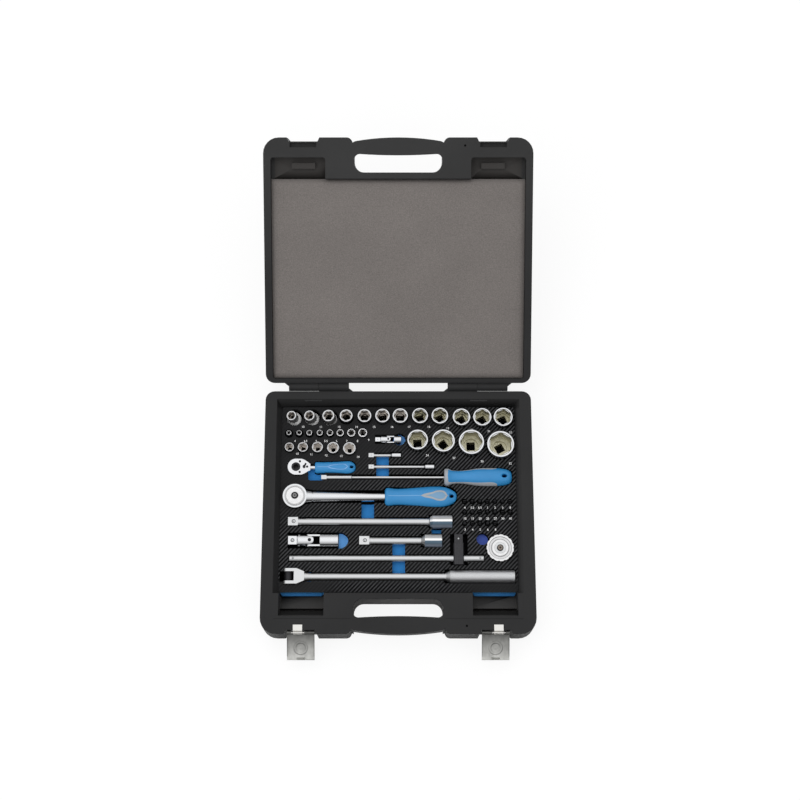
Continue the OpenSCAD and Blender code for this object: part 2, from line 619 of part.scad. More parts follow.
module ratchet_half_body() color("#dcdde0") {
    t = ratchet_half_t;
    difference() {
        union() {
            at_head() cylinder(h = 2 * t - 1, r = ratchet_r, center = true);
            at_head() translate([0, 0, t - 0.5 - eps]) cylinder(h = 0.5, r1 = ratchet_r, r2 = ratchet_r - 0.8);
            at_head() translate([0, 0, -t]) cylinder(h = 0.5 + eps, r1 = ratchet_r - 0.8, r2 = ratchet_r);
            // collar, groove and tapering shank
            cone_x(ratchet_at + [14, 0], 12, 11.2, 9.4);
            rod_x(ratchet_at + [25, 0], 3, 8.4);
            cone_x(ratchet_at + [27.5, 0], ratchet_grip_x - ratchet_at[0] - 27.5, 9.3, 6.4);
            rod_x([ratchet_grip_x - 1, ratchet_at[1]], tang_l + 1, tang_r);
        }
        at_head() translate([0, 0, 4 - t]) cylinder(h = 2 * t, r = cavity_r);
        at_head() translate([0, 0, -t - 1]) cylinder(h = 2 * t, r = neck_r + run);
        at_head() translate([gear_r - 3, -6, 4.6 - t]) cube([10, 12, 9]);
    }
}

module toothed_disc(r, h, teeth) linear_extrude(h) polygon([for (i = [0:teeth - 1]) for (k = [0, 1])
    let (a = (i + k / 2) * 360 / teeth) (r - k * 0.9) * [cos(a), sin(a)]]);

module ratchet_half_drive() color("#b9bbc0") at_head() {
    t = ratchet_half_t;
    difference() {
        union() {
            translate([0, 0, 4.2 - t]) toothed_disc(gear_r, 9.6, 36);
            translate([0, 0, -t]) cylinder(h = 5, r = neck_r);
            translate([-half_sq / 2, -half_sq / 2, -t - half_tang]) cube([half_sq, half_sq, half_tang + eps]);
            translate([0, 0, 13 - t]) cylinder(h = 2 * t - 13, r = spindle_r);
            translate([0, half_sq / 2 - 1, -t - half_tang / 2]) sphere(r = 2);
        }
        translate([0, 0, 12 - t]) cylinder(h = 2 * t, r = button_r + run);
    }
}

module ratchet_half_pawl() color("#8d8f94") at_head() difference() {
    translate([gear_r - 2, -5.7, 4.8 - ratchet_half_t]) cube([8.6, 11.4, 8.4]);
    translate([0, 0, -through / 2]) cylinder(h = through, r = gear_r + side_gap);
}

// Reversing dial that closes the head
module ratchet_half_dial() color("#cfd0d3") at_head() {
    t = ratchet_half_t;
    difference() {
        union() {
            translate([0, 0, t - 6]) cylinder(h = 6, r = cavity_r - run);
            translate([0, 0, t + 0.6]) cylinder(h = 0.8, r = 15.6);
            translate([0, 0, t - eps]) cylinder(h = 0.7, r = cavity_r - run);
            translate([0, 0, t + 1.4 - eps]) difference() {
                cylinder(h = 0.8, r = 14.6);
                translate([0, 0, -1]) cylinder(h = 3, r = 13.4);
            }
        }
        translate([0, 0, t - 7]) cylinder(h = 12, r = spindle_r + run);
    }
}

module ratchet_half_button() color("#5c5e62") at_head()
    translate([0, 0, 15 - ratchet_half_t]) cylinder(h = 2 * ratchet_half_t - 15 + 2.6, r = button_r);

// A grip as a flattened solid of revolution along X, with a hanging hole near its end
module grip(x, y, profile, flat, bore_r, bore_l, hang) {
    l = profile[len(profile) - 1][0];
    difference() {
        translate([x, y, axis_z]) scale([1, 1, flat]) rotate([0, 90, 0]) rotate_extrude($fn = 32)
            polygon(concat([[0, 0]], [for (p = profile) [p[1], p[0]]], [[0, l]]));
        rod_x([x - 1, y], bore_l + 1, bore_r + run);
        translate([x + l - hang, y, -eps]) cylinder(h = through, r = hang_r);
    }
}

module ratchet_half_grip() color("#2d7dc8")
    grip(ratchet_grip_x, ratchet_at[1], RATCHET_GRIP, grip_flat, tang_r, tang_l + 0.5, 8);

// ---------------------------------------------------------------- quarter-inch ratchet

module ratchet4_plan() translate(ratchet4_at) {
    circle(ratchet4_r);
    polygon([[0, -12.6], [9, -12.4], [13.5, -10.6], [22.5, -4.6], [29.4, -4.2], [29.4, 4.2], [22.5, 4.6],
        [13.5, 10.6], [9, 12.4], [0, 12.6]]);
}

module at_head4() translate([ratchet4_at[0], ratchet4_at[1], axis_z]) children();
drive4_r = 6.8;
gear4_r = 8;
selector_x = 12.5;

module ratchet_quarter_body() color("#dcdde0") {
    t = ratchet4_half_t;
    difference() {
        union() {
            translate([0, 0, axis_z - t]) linear_extrude(2 * t - 2) intersection() {
                ratchet4_plan();
                translate([ratchet4_at[0] - 20, ratchet4_at[1] - 20]) square([42, 40]);
            }
            rod_x([ratchet4_at[0] + 18, ratchet4_at[1]], ratchet4_grip_x - ratchet4_at[0] - 18 + 24, 3.6);
        }
        at_head4() translate([0, 0, 3 - t]) cylinder(h = 2 * t, r = gear4_r + side_gap);
        at_head4() translate([0, 0, -t - 1]) cylinder(h = 2 * t, r = drive4_r - 1.6 + run);
        at_head4() translate([selector_x, 0, -t + 3]) cylinder(h = 2 * t, r = 1.6 + run);
        for (p = SCREWS) at_head4() translate([p[0], p[1], -t + 4]) cylinder(h = 2 * t, r = 1 + run);
    }
}

SCREWS = [[6, 8.4], [6, -8.4], [17.2, 0]];

module ratchet_quarter_cover() color("#e2e3e6") {
    t = ratchet4_half_t;
    translate([0, 0, axis_z + t - 2]) linear_extrude(2) difference() {
        intersection() {
            ratchet4_plan();
            translate([ratchet4_at[0] - 20, ratchet4_at[1] - 20]) square([39.6, 40]);
        }
        translate(ratchet4_at) circle(drive4_r + run);
        translate(ratchet4_at + [selector_x, 0]) circle(1.6 + run);
    }
    for (p = SCREWS) at_head4() translate([p[0], p[1], t - 8]) cylinder(h = 8.6, r = 1);
    for (p = SCREWS) at_head4() translate([p[0], p[1], t - eps]) cylinder(h = 0.8, r = 1.7);
}

module ratchet_quarter_drive() color("#b9bbc0") at_head4() {
    t = ratchet4_half_t;
    difference() {
        union() {
            translate([0, 0, 3.2 - t]) toothed_disc(gear4_r, 2 * t - 5.6, 30);
            translate([0, 0, -t]) cylinder(h = 4, r = drive4_r - 1.6);
            translate([-quarter_sq / 2, -quarter_sq / 2, -t - quarter_tang])
                cube([quarter_sq, quarter_sq, quarter_tang + eps]);
            translate([0, 0, 0]) cylinder(h = t + 0.4, r = drive4_r);
            translate([0, quarter_sq / 2 - 0.6, -t - quarter_tang / 2]) sphere(r = 1.1);
        }
        translate([0, 0, -1]) cylinder(h = 2 * t, d = 8.6, $fn = 6);
    }
}

module ratchet_quarter_selector() color("#b9bbc0") at_head4() {
    t = ratchet4_half_t;
    translate([selector_x, 0, -t + 3.2]) cylinder(h = 2 * t - 2, r = 1.6);
    translate([selector_x, 0, t + 0.3]) cylinder(h = 1.6, r = 2.2);
    translate([selector_x, 0, t + 0.3]) rotate(62) translate([0, -1.1, 0]) cube([6, 2.2, 1.5]);
}

module ratchet_quarter_grip() color("#2d7dc8")
    grip(ratchet4_grip_x, ratchet4_at[1], RATCHET4_GRIP, grip_flat, 3.6, 24.5, 6);

// ---------------------------------------------------------------- spinner handle and palm ratchet

module spinner_shaft() color("#dcdde0") {
    square_x([spinner_x, spinner_y], quarter_tang, quarter_sq);
    rod_x([spinner_x + quarter_tang - eps, spinner_y], 38, 3.6);
    cone_x([spinner_x + quarter_tang + 38 - 2 * eps, spinner_y], 2, 3.6, 2.4);
    rod_x([spinner_x + quarter_tang + 39, spinner_y], spinner_grip_x - spinner_x - quarter_tang - 39 + 40, 2.4);
}

module spinner_grip() color("#2d7dc8")
    grip(spinner_grip_x, spinner_y, SPINNER_GRIP, 1, 2.4, 40.5, 12);

module at_palm() translate([palm_at[0], palm_at[1], axis_z]) children();

module palm_ratchet_body() color("#dcdde0") at_palm() {
    t = palm_half_t;
    scallops = 15;
    difference() {
        translate([0, 0, -t]) cylinder(h = 2 * t, r = palm_r);
        for (i = [0:scallops - 1]) rotate(i * 360 / scallops) translate([palm_r + 2.2, 0, -t - 1])
            cylinder(h = 2 * t + 2, r = 3, $fn = 24);
        translate([0, 0, t - 1.2]) difference() {
            cylinder(h = 2, r = 17);
            translate([0, 0, -1]) cylinder(h = 4, r = 12.9);
        }
        translate([0, 0, 3 - t]) cylinder(h = 2 * t, r = gear4_r + side_gap);
        translate([0, 0, -t - 1]) cylinder(h = 2 * t, r = drive4_r - 1.6 + run);
    }
}

module palm_ratchet_drive() color("#b9bbc0") at_palm() {
    t = palm_half_t;
    difference() {
        union() {
            translate([0, 0, 3.2 - t]) toothed_disc(gear4_r, 8, 30);
            translate([0, 0, -t]) cylinder(h = 4, r = drive4_r - 1.6);
            translate([0, 0, -t - quarter_tang]) translate([-quarter_sq / 2, -quarter_sq / 2, 0])
                cube([quarter_sq, quarter_sq, quarter_tang + eps]);
            translate([0, 0, 11 - t]) cylinder(h = 2 * t - 11, r = gear4_r + side_gap - run);
        }
        translate([0, 0, 8 - t]) cylinder(h = 2 * t, r = 5);
    }
}

module palm_ratchet_button() color("#8d8f94") at_palm()
    translate([0, 0, 11 - palm_half_t]) cylinder(h = 2 * palm_half_t - 11 + 2, r = 5 - run);

// ---------------------------------------------------------------- universal joints

function joint_x(j) = j[2] + j[3] + j[4];                // square's end to the pivot
function joint_l(j) = joint_x(j) + j[6] + j[5];
function prong_in(j) = j[0] * 0.6;                       // inner face of a prong
function prong_w(j) = j[0] * 0.6 - side_gap;             // half the width of a prong
function joint_pin(j) = j[0] * 0.24;

// Two prongs that reach back from x = l to the pivot at x = 0, above and below the axis
module prongs(j, l) intersection() {
    rotate([0, 90, 0]) translate([0, 0, -through / 2]) cylinder(h = through, r = j[0]);
    difference() {
        union() {
            translate([0, -prong_w(j), -j[0]]) cube([l + eps, 2 * prong_w(j), 2 * j[0]]);
            cylinder(h = 2 * j[0], r = prong_w(j), center = true);
        }
        cube([2 * l, through, 2 * prong_in(j)], center = true);
        cylinder(h = through, r = joint_pin(j) + run, center = true);
    }
}

module plug_yoke(at, j) color("#dcdde0") {
    square_x(at, j[2] + eps, j[1]);
    translate([at[0] + j[2] / 2, at[1], axis_z + j[1] / 2 - j[1] * 0.1]) sphere(r = j[1] * 0.16);
    cone_x([at[0] + j[2], at[1]], j[3] * 0.4, j[1] * 0.6, j[0]);
    rod_x([at[0] + j[2] + j[3] * 0.4 - eps, at[1]], j[3] * 0.6 + eps, j[0]);
    translate([at[0] + joint_x(j), at[1], axis_z]) mirror([1, 0, 0]) prongs(j, j[4]);
}

module socket_yoke(at, j) color("#dcdde0") difference() {
    union() {
        translate([at[0] + joint_x(j), at[1], axis_z]) rotate([90, 0, 0]) prongs(j, j[6]);
        rod_x([at[0] + joint_x(j) + j[6], at[1]], j[5], j[0]);
    }
    square_x([at[0] + joint_x(j) + j[6] + j[5] * 0.3, at[1]], j[5], j[1] + 0.2);
}

module cross(at, j) color("#a9abb0") translate([at[0] + joint_x(j), at[1], axis_z]) {
    cube(2 * prong_w(j), center = true);
    for (a = [0, 90]) rotate([a, 0, 0]) cylinder(h = 1.9 * j[0], r = joint_pin(j), center = true);
}

module joint_half_plug_yoke() plug_yoke(joint_at, JOINT_HALF);
module joint_half_cross() cross(joint_at, JOINT_HALF);
module joint_half_socket_yoke() socket_yoke(joint_at, JOINT_HALF);
module joint_quarter_plug_yoke() plug_yoke(joint4_at, JOINT_QUARTER);
module joint_quarter_cross() cross(joint4_at, JOINT_QUARTER);
module joint_quarter_socket_yoke() socket_yoke(joint4_at, JOINT_QUARTER);

// ---------------------------------------------------------------- bars

long_end = 30;
short_end = 26;
ext4_end = 14;
ext4_r = 2.8;
breaker_shaft_r = 5.7;
breaker_handle_l = 98;
breaker_reach = 26;     // pivot to the end of the breaker's square
breaker_pin_r = 3;
slot_l = 8.6;           // pivot to the end of the fork's slot

// Extension bar: a square with a detent ball, a shoulder, a shaft and a square socket
module extension(at, l, sq, tang, shaft_r, end_r, end_l) color("#dcdde0") {
    neck = at[0] + l - end_l;
    difference() {
        union() {
            square_x(at, tang, sq);
            translate([at[0] + tang / 2, at[1], axis_z + sq * 0.4]) sphere(r = sq * 0.16);
            cone_x([at[0] + tang - eps, at[1]], 3, sq * 0.51, shaft_r);
            rod_x([at[0] + tang + 2, at[1]], l - tang - end_l - 2, shaft_r);
            cone_x([neck - (end_r - shaft_r) * 1.4, at[1]], (end_r - shaft_r) * 1.4, shaft_r, end_r);
            rod_x([neck - eps, at[1]], end_l - 0.8 + eps, end_r);
            cone_x([at[0] + l - 0.8 - eps, at[1]], 0.8 + eps, end_r, end_r - 0.8);
        }
        square_x([at[0] + l - tang - 1, at[1]], tang + 2, sq + 0.2);
    }
}

module extension_half_long() extension(ext_long_at, ext_long_l, half_sq, half_tang, ext_r, tool_r, long_end);
module extension_half_short() extension(ext_short_at, ext_short_l, half_sq, half_tang, ext_r, tool_r, short_end);
module extension_quarter_long() extension(ext4_long_at, ext4_long_l, quarter_sq, quarter_tang, ext4_r, tool4_r, ext4_end);
module extension_quarter_short() extension(ext4_short_at, ext4_short_l, quarter_sq, quarter_tang, ext4_r, tool4_r, ext4_end);

module tbar_rod() color("#dcdde0") {
    cone_x(tbar_at, 1, tbar_r - 1, tbar_r);
    rod_x(tbar_at + [1, 0], tbar_l - 2, tbar_r);
    cone_x(tbar_at + [tbar_l - 1, 0], 1, tbar_r, tbar_r - 1);
    for (x = [6, tbar_l - 6]) translate([tbar_at[0] + x, tbar_at[1], axis_z + tbar_r - 1]) sphere(r = 1.8);
}

// Sliding head: a rounded black block on the bar, with a square to the side
module tbar_slider() color("#222224") difference() {
    union() {
        intersection() {
            translate([slider_x - slider_w / 2, tbar_at[1] - 10.2, axis_z - 9]) cube([slider_w, 33, 18]);
            rod_y([slider_x, tbar_at[1] + 6.3, axis_z], 33, 10.6);
        }
        translate([slider_x - half_sq / 2, tbar_at[1] + 22.5, axis_z - half_sq / 2])
            cube([half_sq, 13.6, half_sq]);
        translate([slider_x, tbar_at[1] + 29.5, axis_z + half_sq * 0.4]) sphere(r = 2);
    }
    rod_x([slider_x - slider_w, tbar_at[1]], 2 * slider_w, tbar_r + 0.1);
}

module fork_plan() translate(breaker_at) polygon([[0, -fork_r], [19.5, -fork_r], [31, -breaker_shaft_r - 1],
    [31, breaker_shaft_r + 1], [19.5, fork_r], [0, fork_r]]);

module breaker_bar() color("#dcdde0") {
    pivot = [breaker_pin_x, breaker_at[1], axis_z];
    handle_x = breaker_at[0] + breaker_l - breaker_handle_l;
    difference() {
        union() {
            intersection() {
                translate([0, 0, axis_z - 9]) linear_extrude(18) fork_plan();
                union() {
                    rod_y(pivot, through, 9.5);
                    translate(pivot + [0, -20, -20]) cube([50, 40, 40]);
                }
            }
            cone_x([breaker_at[0] + 29, breaker_at[1]], 12, breaker_shaft_r + 1.5, breaker_shaft_r);
            rod_x([breaker_at[0] + 40, breaker_at[1]], handle_x - breaker_at[0] - 47, breaker_shaft_r);
            cone_x([handle_x - 8, breaker_at[1]], 8 + eps, breaker_shaft_r, breaker_r);
            rod_x([handle_x, breaker_at[1]], breaker_handle_l - 1.5, breaker_r);
            cone_x([handle_x + breaker_handle_l - 1.5 - eps, breaker_at[1]], 1.5 + eps, breaker_r, breaker_r - 1.5);
        }
        translate(pivot + [-12, -7.1, -20]) cube([12 + slot_l, 14.2, 40]);
        rod_y(pivot, through, breaker_pin_r + run);
    }
}

module breaker_head() color("#3c3c40") translate([breaker_pin_x, breaker_at[1], axis_z]) difference() {
    union() {
        rotate([90, 0, 0]) cylinder(h = 2 * (7.1 - side_gap), r = slot_l - 1.6, center = true);
        translate([-half_sq / 2, -half_sq / 2, -breaker_reach]) cube([half_sq, half_sq, breaker_reach]);
        translate([-half_sq * 0.4, 0, -breaker_reach + 7]) sphere(r = 2);
    }
    rod_y([0, 0, 0], through, breaker_pin_r + run);
}

module breaker_pin() color("#b8b8b8")
    rod_y([breaker_pin_x, breaker_at[1], axis_z], 2 * fork_r - 0.4, breaker_pin_r);

// ---------------------------------------------------------------- nodes

case_base();
case_lid();
hinge_pins();
latch_brackets();
latch_lever_left();
latch_lever_right();
lid_foam();
tray_top();
tray_base();
socket_half(0);  // socket_half_10
socket_half(1);  // socket_half_11
socket_half(2);  // socket_half_13
socket_half(3);  // socket_half_14
socket_half(4);  // socket_half_15
socket_half(5);  // socket_half_16
socket_half(6);  // socket_half_17
socket_half(7);  // socket_half_18
socket_half(8);  // socket_half_19
socket_half(9);  // socket_half_20
socket_half(10);  // socket_half_21
socket_half(11);  // socket_half_22
socket_half(12);  // socket_half_24
socket_half(13);  // socket_half_27
socket_half(14);  // socket_half_30
socket_half(15);  // socket_half_32
sockets_quarter_small();
sockets_quarter_large();
screwdriver_bits();
ratchet_half_body();
ratchet_half_grip();
ratchet_half_drive();
ratchet_half_pawl();
ratchet_half_dial();
ratchet_half_button();
ratchet_quarter_body();
ratchet_quarter_cover();
ratchet_quarter_grip();
ratchet_quarter_drive();
ratchet_quarter_selector();
spinner_shaft();
spinner_grip();
palm_ratchet_body();
palm_ratchet_drive();
palm_ratchet_button();
joint_half_plug_yoke();
joint_half_cross();
joint_half_socket_yoke();
joint_quarter_plug_yoke();
joint_quarter_cross();
joint_quarter_socket_yoke();
extension_half_long();
extension_half_short();
extension_quarter_long();
extension_quarter_short();
tbar_rod();
tbar_slider();
breaker_bar();
breaker_head();
breaker_pin();
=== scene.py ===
import json
import math

import bmesh
import bpy
from mathutils import Matrix, Vector, noise


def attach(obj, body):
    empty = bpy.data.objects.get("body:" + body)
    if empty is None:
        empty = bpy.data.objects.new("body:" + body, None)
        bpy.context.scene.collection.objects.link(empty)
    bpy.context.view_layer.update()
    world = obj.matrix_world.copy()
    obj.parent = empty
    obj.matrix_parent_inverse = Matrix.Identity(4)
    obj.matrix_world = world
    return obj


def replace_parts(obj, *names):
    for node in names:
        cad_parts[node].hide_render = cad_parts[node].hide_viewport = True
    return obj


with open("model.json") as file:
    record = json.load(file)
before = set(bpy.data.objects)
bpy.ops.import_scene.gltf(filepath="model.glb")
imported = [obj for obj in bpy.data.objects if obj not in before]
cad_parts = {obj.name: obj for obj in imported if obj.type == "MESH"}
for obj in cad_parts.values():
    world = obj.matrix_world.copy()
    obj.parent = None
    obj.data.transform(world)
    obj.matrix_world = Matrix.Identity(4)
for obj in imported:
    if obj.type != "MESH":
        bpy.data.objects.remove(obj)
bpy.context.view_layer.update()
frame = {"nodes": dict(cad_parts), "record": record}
scene = bpy.context.scene

# ---------------------------------------------------------------- sizes, in metres

MM = 0.001
BASE_H = 52 * MM
HINGE_Y = 194 * MM
LID_ANGLE = math.radians(-155)
TRAY_Z = 40 * MM
BLUE_TOP = 29 * MM
POCKET_FLOOR = 28.6 * MM        # the finger recesses' blue floor
SHELF_Y = -123.5 * MM           # the tray's front wall, with a blue shelf in front of it
AXIS_Z = 36 * MM                # the tools' axes
SOCKET_TOP = 50 * MM
LATCH_ROD_Y = -184 * MM

# places on the tray, in millimetres
DIAL_AXIS, PALM_AXIS = (-157.2, 23.2), (153.6, -56.7)
LATCH_X = 144.5

OPEN_LID = (Matrix.Translation((0, HINGE_Y, BASE_H)) @ Matrix.Rotation(LID_ANGLE, 4, "X")
            @ Matrix.Translation((0, -HINGE_Y, -BASE_H)))

# ---------------------------------------------------------------- small helpers


def placed(name, data):
    """An object made of the data, put in the scene."""
    ob = bpy.data.objects.new(name, data)
    scene.collection.objects.link(ob)
    return ob


def result_of(ob):
    """The mesh that an object's modifiers give."""
    return bpy.data.meshes.new_from_object(ob.evaluated_get(bpy.context.evaluated_depsgraph_get()))


def as_mesh(bm, name, outward=False):
    """A mesh of what the builder holds, with its faces turned outward if asked."""
    if outward:
        bmesh.ops.recalc_face_normals(bm, faces=bm.faces)
    mesh = bpy.data.meshes.new(name)
    bm.to_mesh(mesh)
    bm.free()
    return mesh


def circle(x, y, radius, sides, stretch=1.0):
    """(x, y) points round a circle, stretched along x."""
    return [(x + radius * stretch * math.cos(a), y + radius * math.sin(a))
            for a in (2 * math.pi * k / sides for k in range(sides))]


def skin(bm, loops):
    """Faces between each loop of vertices and the next."""
    for a, b in zip(loops, loops[1:]):
        for k in range(len(a)):
            n = (k + 1) % len(a)
            bm.faces.new((a[k], a[n], b[n], b[k]))


def lofted(name, loops):
    """A closed mesh through loops of points."""
    bm = bmesh.new()
    loops = [[bm.verts.new(point) for point in loop] for loop in loops]
    skin(bm, loops)
    bm.faces.new(loops[0][::-1])
    bm.faces.new(loops[-1])
    return as_mesh(bm, name, outward=True)


def add_node(tree, kind, inputs=None, **settings):
    """A new node in a tree; each of its inputs is given a value or wired to a socket."""
    new = tree.nodes.new(kind)
    for key, value in settings.items():
        setattr(new, key, value)
    for key, value in (inputs or {}).items():
        if isinstance(value, bpy.types.NodeSocket):
            tree.links.new(value, new.inputs[key])
        else:
            new.inputs[key].default_value = value
    return new


def rgba(color):
    """A colour tuple with its alpha; a socket stays as it is."""
    return (*color, 1) if isinstance(color, tuple) else color


# ---------------------------------------------------------------- camera and lamps

camera = placed("camera", bpy.data.cameras.new("camera"))
camera.location = (0.00266, -0.50228, 2.26904)
camera.rotation_euler = (math.radians(16.9483), 0, 0)
camera.data.lens = 67.5
camera.data.sensor_width = 36
camera.data.clip_end = 50
scene.camera = camera
scene.view_settings.view_transform = "Standard"

LAMP_AIM = Vector((0, 0.1, 0))


def soft_box(name, place, size, watts):
    """A square studio lamp that points at the case."""
    lamp = bpy.data.lights.new(name, "AREA")
    lamp.shape, lamp.size, lamp.energy = "SQUARE", size, watts
    ob = placed(name, lamp)
    ob.location = place
    ob.rotation_euler = (LAMP_AIM - Vector(place)).to_track_quat("-Z", "Y").to_euler()
    ob.visible_glossy = False       # metal mirrors the room's own gradient instead


soft_box("overhead lamp", (-0.5, 0.5, 2.5), 1.6, 13)
soft_box("key lamp", (-1.5, -0.7, 1.9), 1.2, 7)
soft_box("fill lamp", (1.6, -0.8, 1.7), 1.0, 4)

# ---------------------------------------------------------------- material nodes


class Finish:
    """A Principled material whose pattern sits on the object's own coordinates, in metres."""

    def __init__(self, name, color, roughness=0.5, metallic=0.0, **sockets):
        self.mat = bpy.data.materials.new(name)
        self.mat.use_nodes = True
        self.tree = self.mat.node_tree
        self.shader = self.tree.nodes["Principled BSDF"]
        self.shader.inputs["Base Color"].default_value = rgba(color)
        self.shader.inputs["Roughness"].default_value = roughness
        self.shader.inputs["Metallic"].default_value = metallic
        for socket, value in sockets.items():
            self.shader.inputs[socket.replace("_", " ")].default_value = value
        self.color = color
        self.place = self.node("ShaderNodeTexCoord").outputs["Object"]
        self.heights = []

    def node(self, kind, inputs=None, **settings):
        return add_node(self.tree, kind, inputs, **settings)

    def axes(self):
        """The x, y and z of the object's own coordinates."""
        return self.node("ShaderNodeSeparateXYZ", {0: self.place}).outputs

    def stretched(self, scale, turn=(0, 0, 0)):
        """Coordinates scaled and turned."""
        return self.node("ShaderNodeMapping", {"Vector": self.place, "Rotation": turn, "Scale": scale}).outputs[0]

    def grain(self, size, detail=3.0, place=None):
        """Noise between 0 and 1 with features of a given size."""
        return self.node("ShaderNodeTexNoise", {"Vector": place or self.place, "Scale": 1 / size,
                                                "Detail": detail, "Roughness": 0.6}).outputs["Fac"]

    def math(self, how, a, b=0.0):
        return self.node("ShaderNodeMath", {0: a, 1: b}, operation=how).outputs[0]

    def reach(self, dx, dy):
        """How far away a point is that lies dx and dy off."""
        return self.math("SQRT", self.math("ADD", self.math("MULTIPLY", dx, dx), self.math("MULTIPLY", dy, dy)))

    def ramp(self, value, low, high, a, b):
        """Maps value from low..high to a..b, held at both ends."""
        return self.node("ShaderNodeMapRange", {"Value": value, "From Min": low, "From Max": high,
                                                "To Min": a, "To Max": b}).outputs[0]

    def above(self, value, low, high):
        """A mask that grows from 0 at low to 1 at high."""
        return self.ramp(value, low, high, 0, 1)

    def below(self, value, low, high):
        """A mask that falls from 1 at low to 0 at high."""
        return self.ramp(value, low, high, 1, 0)

    def all_of(self, *masks):
        """A mask that is 1 only where each of these is."""
        whole = masks[0]
        for mask in masks[1:]:
            whole = self.math("MULTIPLY", whole, mask)
        return whole

    def between(self, value, start, stop, soft, soft_stop=None):
        """A mask of the stretch from start to stop, soft at its two ends."""
        return self.all_of(self.above(value, start, start + soft),
                           self.below(value, stop - (soft_stop or soft), stop))

    def curve(self, value, points):
        """A smooth curve through (x, y) points in 0..1."""
        node = self.node("ShaderNodeFloatCurve", {"Value": value})
        line = node.mapping.curves[0]
        for x, y in points[1:-1]:
            line.points.new(x, y)
        line.points[0].location, line.points[len(points) - 1].location = points[0], points[-1]
        node.mapping.update()
        return node.outputs[0]

    def mix(self, fac, a, b):
        """Mixes two colours; each is a colour tuple or a socket."""
        return self.node("ShaderNodeMix", {0: fac, 6: rgba(a), 7: rgba(b)}, data_type="RGBA").outputs[2]

    def grey(self, tone):
        return self.node("ShaderNodeCombineColor", {0: tone, 1: tone, 2: tone}).outputs[0]

    def bands(self, value, stops):
        """Colours along a 0..1 value; stops are (place, grey or colour)."""
        node = self.node("ShaderNodeValToRGB", {0: value})
        band = node.color_ramp.elements
        for place, tint in stops[1:-1]:
            band.new(place)
        for stop, (place, tint) in zip(band, stops):
            stop.position = place
            stop.color = rgba(tint) if isinstance(tint, tuple) else (tint, tint, tint * 1.01, 1)
        return node.outputs[0]

    def rings(self, centre, stops):
        """Colours that follow the distance from an upright axis; stops are (millimetres, grey or colour)."""
        last = stops[-1][0]
        x, y, z = self.axes()
        dx, dy = self.math("SUBTRACT", x, centre[0] * MM), self.math("SUBTRACT", y, centre[1] * MM)
        return self.bands(self.math("DIVIDE", self.reach(dx, dy), last * MM),
                          [(place / last, tint) for place, tint in stops])

    def paint(self, socket):
        self.tree.links.new(socket, self.shader.inputs["Base Color"])
        self.color = socket

    def stain(self, mask, color):
        """Lays a colour over the present one where the mask is 1."""
        self.paint(self.mix(mask, self.color, color))

    def dim(self, tone):
        """Multiplies the colour by a grey."""
        self.paint(self.node("ShaderNodeMix", {0: 1.0, 6: rgba(self.color), 7: self.grey(tone)}, data_type="RGBA",
                             blend_type="MULTIPLY").outputs[2])

    def shade(self, value, low=0.85, high=1.15):
        """Darkens and lightens the colour by a 0..1 value."""
        self.dim(self.ramp(value, 0.25, 0.75, low, high))

    def rough(self, value, low, high):
        self.tree.links.new(self.ramp(value, 0.25, 0.75, low, high), self.shader.inputs["Roughness"])

    def soften(self, radius):
        """Rounds every hard edge by a small radius in the shading."""
        self.heights.append(self.node("ShaderNodeBevel", {"Radius": radius}, samples=4).outputs[0])

    def bump(self, value, depth, strength=1.0):
        """Adds a relief of the given depth."""
        inputs = {"Height": value, "Distance": depth, "Strength": strength}
        if self.heights:
            inputs["Normal"] = self.heights[-1]
        self.heights.append(self.node("ShaderNodeBump", inputs).outputs[0])
        self.tree.links.new(self.heights[-1], self.shader.inputs["Normal"])

    def cells(self, size, detail, low, high, depth, strength):
        """Foam's fine cells, seen and felt."""
        cell = self.grain(size, detail)
        self.shade(cell, low, high)
        self.bump(cell, depth, strength)


# ---------------------------------------------------------------- materials

CASE_BLACK = (0.0155, 0.0155, 0.016)
BLUE_RGB, GREY_RGB, SEAM_RGB = (0.022, 0.200, 0.450), (0.300, 0.320, 0.345), (0.150, 0.330, 0.560)
TRAY_BLUE_RGB, LIT_BLUE_RGB, SHADED_SHELF_BLUE_RGB = (0.030, 0.215, 0.560), (0.165, 0.470, 1.0), (0.028, 0.140, 0.330)
BORE_RGB = (0.66, 0.635, 0.480)
LID_ACROSS = (0, -0.4226, 0.9063)       # square to the open lid's rim
LID_POCKET_DEPTH = -0.058               # the lid pockets' floor along it
HATCH_TURN, HATCH_STEP = math.radians(43.6), 0.00221


